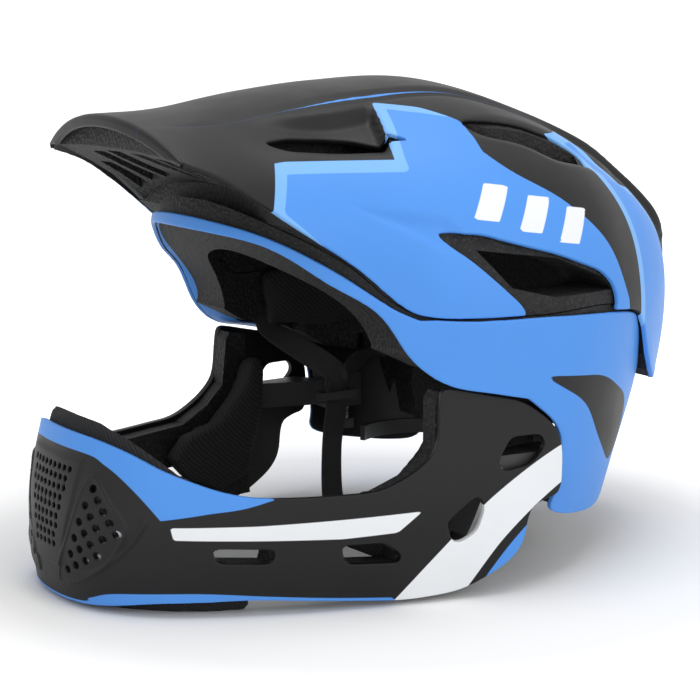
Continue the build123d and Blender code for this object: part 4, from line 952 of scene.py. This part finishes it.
# The studio is no part of the helmet: a white floor that takes the shadow and fades into a white
# background, three soft square lamps, a pale world, and a camera at the photo's angle.
floor_half, floor_shine = 60, 0.2
glow_near, glow_far, glow_most = 0.17, 0.34, 0.65
sky_strength, white_strength = 0.55, 1.0


def seen_rays(tree):
    """One for rays that leave the camera, a gloss or a clear surface, and zero for the others."""
    path = tree.nodes.new("ShaderNodeLightPath")
    shown = path.outputs["Is Camera Ray"]
    for ray in ("Is Glossy Ray", "Is Transmission Ray"):
        either = tree.nodes.new("ShaderNodeMath")
        either.operation = "MAXIMUM"
        tree.links.new(shown, either.inputs[0])
        tree.links.new(path.outputs[ray], either.inputs[1])
        shown = either.outputs[0]
    return shown


floor_mesh = bpy.data.meshes.new("floor")
floor_corners = [(floor_half * a, floor_half * b, 0) for a, b in ((-1, -1), (1, -1), (1, 1), (-1, 1))]
floor_mesh.from_pydata(floor_corners, [], [(0, 1, 2, 3)])
floor = bpy.data.objects.new("floor", floor_mesh)
bpy.context.scene.collection.objects.link(floor)
floor_finish, make, join = shader("floor_white", 0.9, floor_shine)
floor_speck = make("TexNoise", Vector=make("TexCoord").outputs["Object"], Scale=3.0)
join(blend_colour(make, floor_speck.outputs["Fac"], (0.90, 0.90, 0.90), (0.92, 0.92, 0.92)), "Base Color")
floor_tree = floor_finish.node_tree
floor_glow = floor_tree.nodes.new("ShaderNodeEmission")
floor_far = make("VectorMath", {"operation": "LENGTH"}, _0=make("TexCoord").outputs["Object"])
floor_rise = spread(make, floor_far.outputs["Value"], glow_near, glow_far, 0.0, glow_most)
floor_tree.links.new(floor_rise, floor_glow.inputs["Strength"])
floor_add = floor_tree.nodes.new("ShaderNodeAddShader")
floor_mix = floor_tree.nodes.new("ShaderNodeMixShader")
floor_tree.links.new(seen_rays(floor_tree), floor_mix.inputs[0])
floor_paint = floor_tree.nodes["Principled BSDF"].outputs[0]
floor_tree.links.new(floor_paint, floor_mix.inputs[1])
floor_tree.links.new(floor_paint, floor_add.inputs[0])
floor_tree.links.new(floor_glow.outputs[0], floor_add.inputs[1])
floor_tree.links.new(floor_add.outputs[0], floor_mix.inputs[2])
floor_tree.links.new(floor_mix.outputs[0], floor_tree.nodes["Material Output"].inputs[0])
floor_mesh.materials.append(floor_finish)

world = bpy.data.worlds.new("studio")
bpy.context.scene.world = world
world.use_nodes = True
sky = world.node_tree
sky.nodes["Background"].inputs["Color"].default_value = (1, 1, 1, 1)
sky.nodes["Background"].inputs["Strength"].default_value = sky_strength
seen = sky.nodes.new("ShaderNodeBackground")
seen.inputs["Color"].default_value = (1, 1, 1, 1)
seen.inputs["Strength"].default_value = white_strength
choose = sky.nodes.new("ShaderNodeMixShader")
sky.links.new(seen_rays(sky), choose.inputs[0])
sky.links.new(sky.nodes["Background"].outputs[0], choose.inputs[1])
sky.links.new(seen.outputs[0], choose.inputs[2])
sky.links.new(choose.outputs[0], sky.nodes["World Output"].inputs[0])


def soft_lamp(name, place, size, power):
    """A square soft lamp that faces the helmet's middle."""
    light = bpy.data.lights.new(name, "AREA")
    light.size = size
    light.energy = power
    lamp = bpy.data.objects.new(name, light)
    lamp.location = place
    facing = Vector((0, 0, 0.1)) - Vector(place)
    lamp.rotation_euler = facing.to_track_quat("-Z", "Y").to_euler()
    bpy.context.scene.collection.objects.link(lamp)


soft_lamp("top_lamp", (0.10, 0.05, 1.4), 0.9, 9.5)
soft_lamp("left_lamp", (0.9, -1.0, 0.6), 0.9, 3.6)
soft_lamp("right_lamp", (1.3, 0.3, 0.6), 0.8, 4.0)

azimuth, elevation, distance = np.radians(57.3), np.radians(10.0), 900.0
middle, shift_right, shift_up = np.array([0.0, 2.5, 105.0]), 5.8, 15.7
back_way = np.array([np.sin(azimuth) * np.cos(elevation), -np.cos(azimuth) * np.cos(elevation),
                     np.sin(elevation)])
right_way = np.array([np.cos(azimuth), np.sin(azimuth), 0.0])
up_way = np.cross(back_way, right_way)
aim = middle - shift_right * right_way - shift_up * up_way
lens = bpy.data.cameras.new("camera")
lens.lens = 104.04
lens.sensor_width = 36.0
lens.clip_start = 0.01
camera = bpy.data.objects.new("camera", lens)
stand = (aim + distance * back_way) * 0.001
ways = np.stack([right_way, up_way, back_way, stand], axis=1)
camera.matrix_world = Matrix(ways.tolist() + [[0, 0, 0, 1]])
bpy.context.scene.collection.objects.link(camera)
bpy.context.scene.camera = camera
bpy.context.scene.view_settings.view_transform = "Standard"
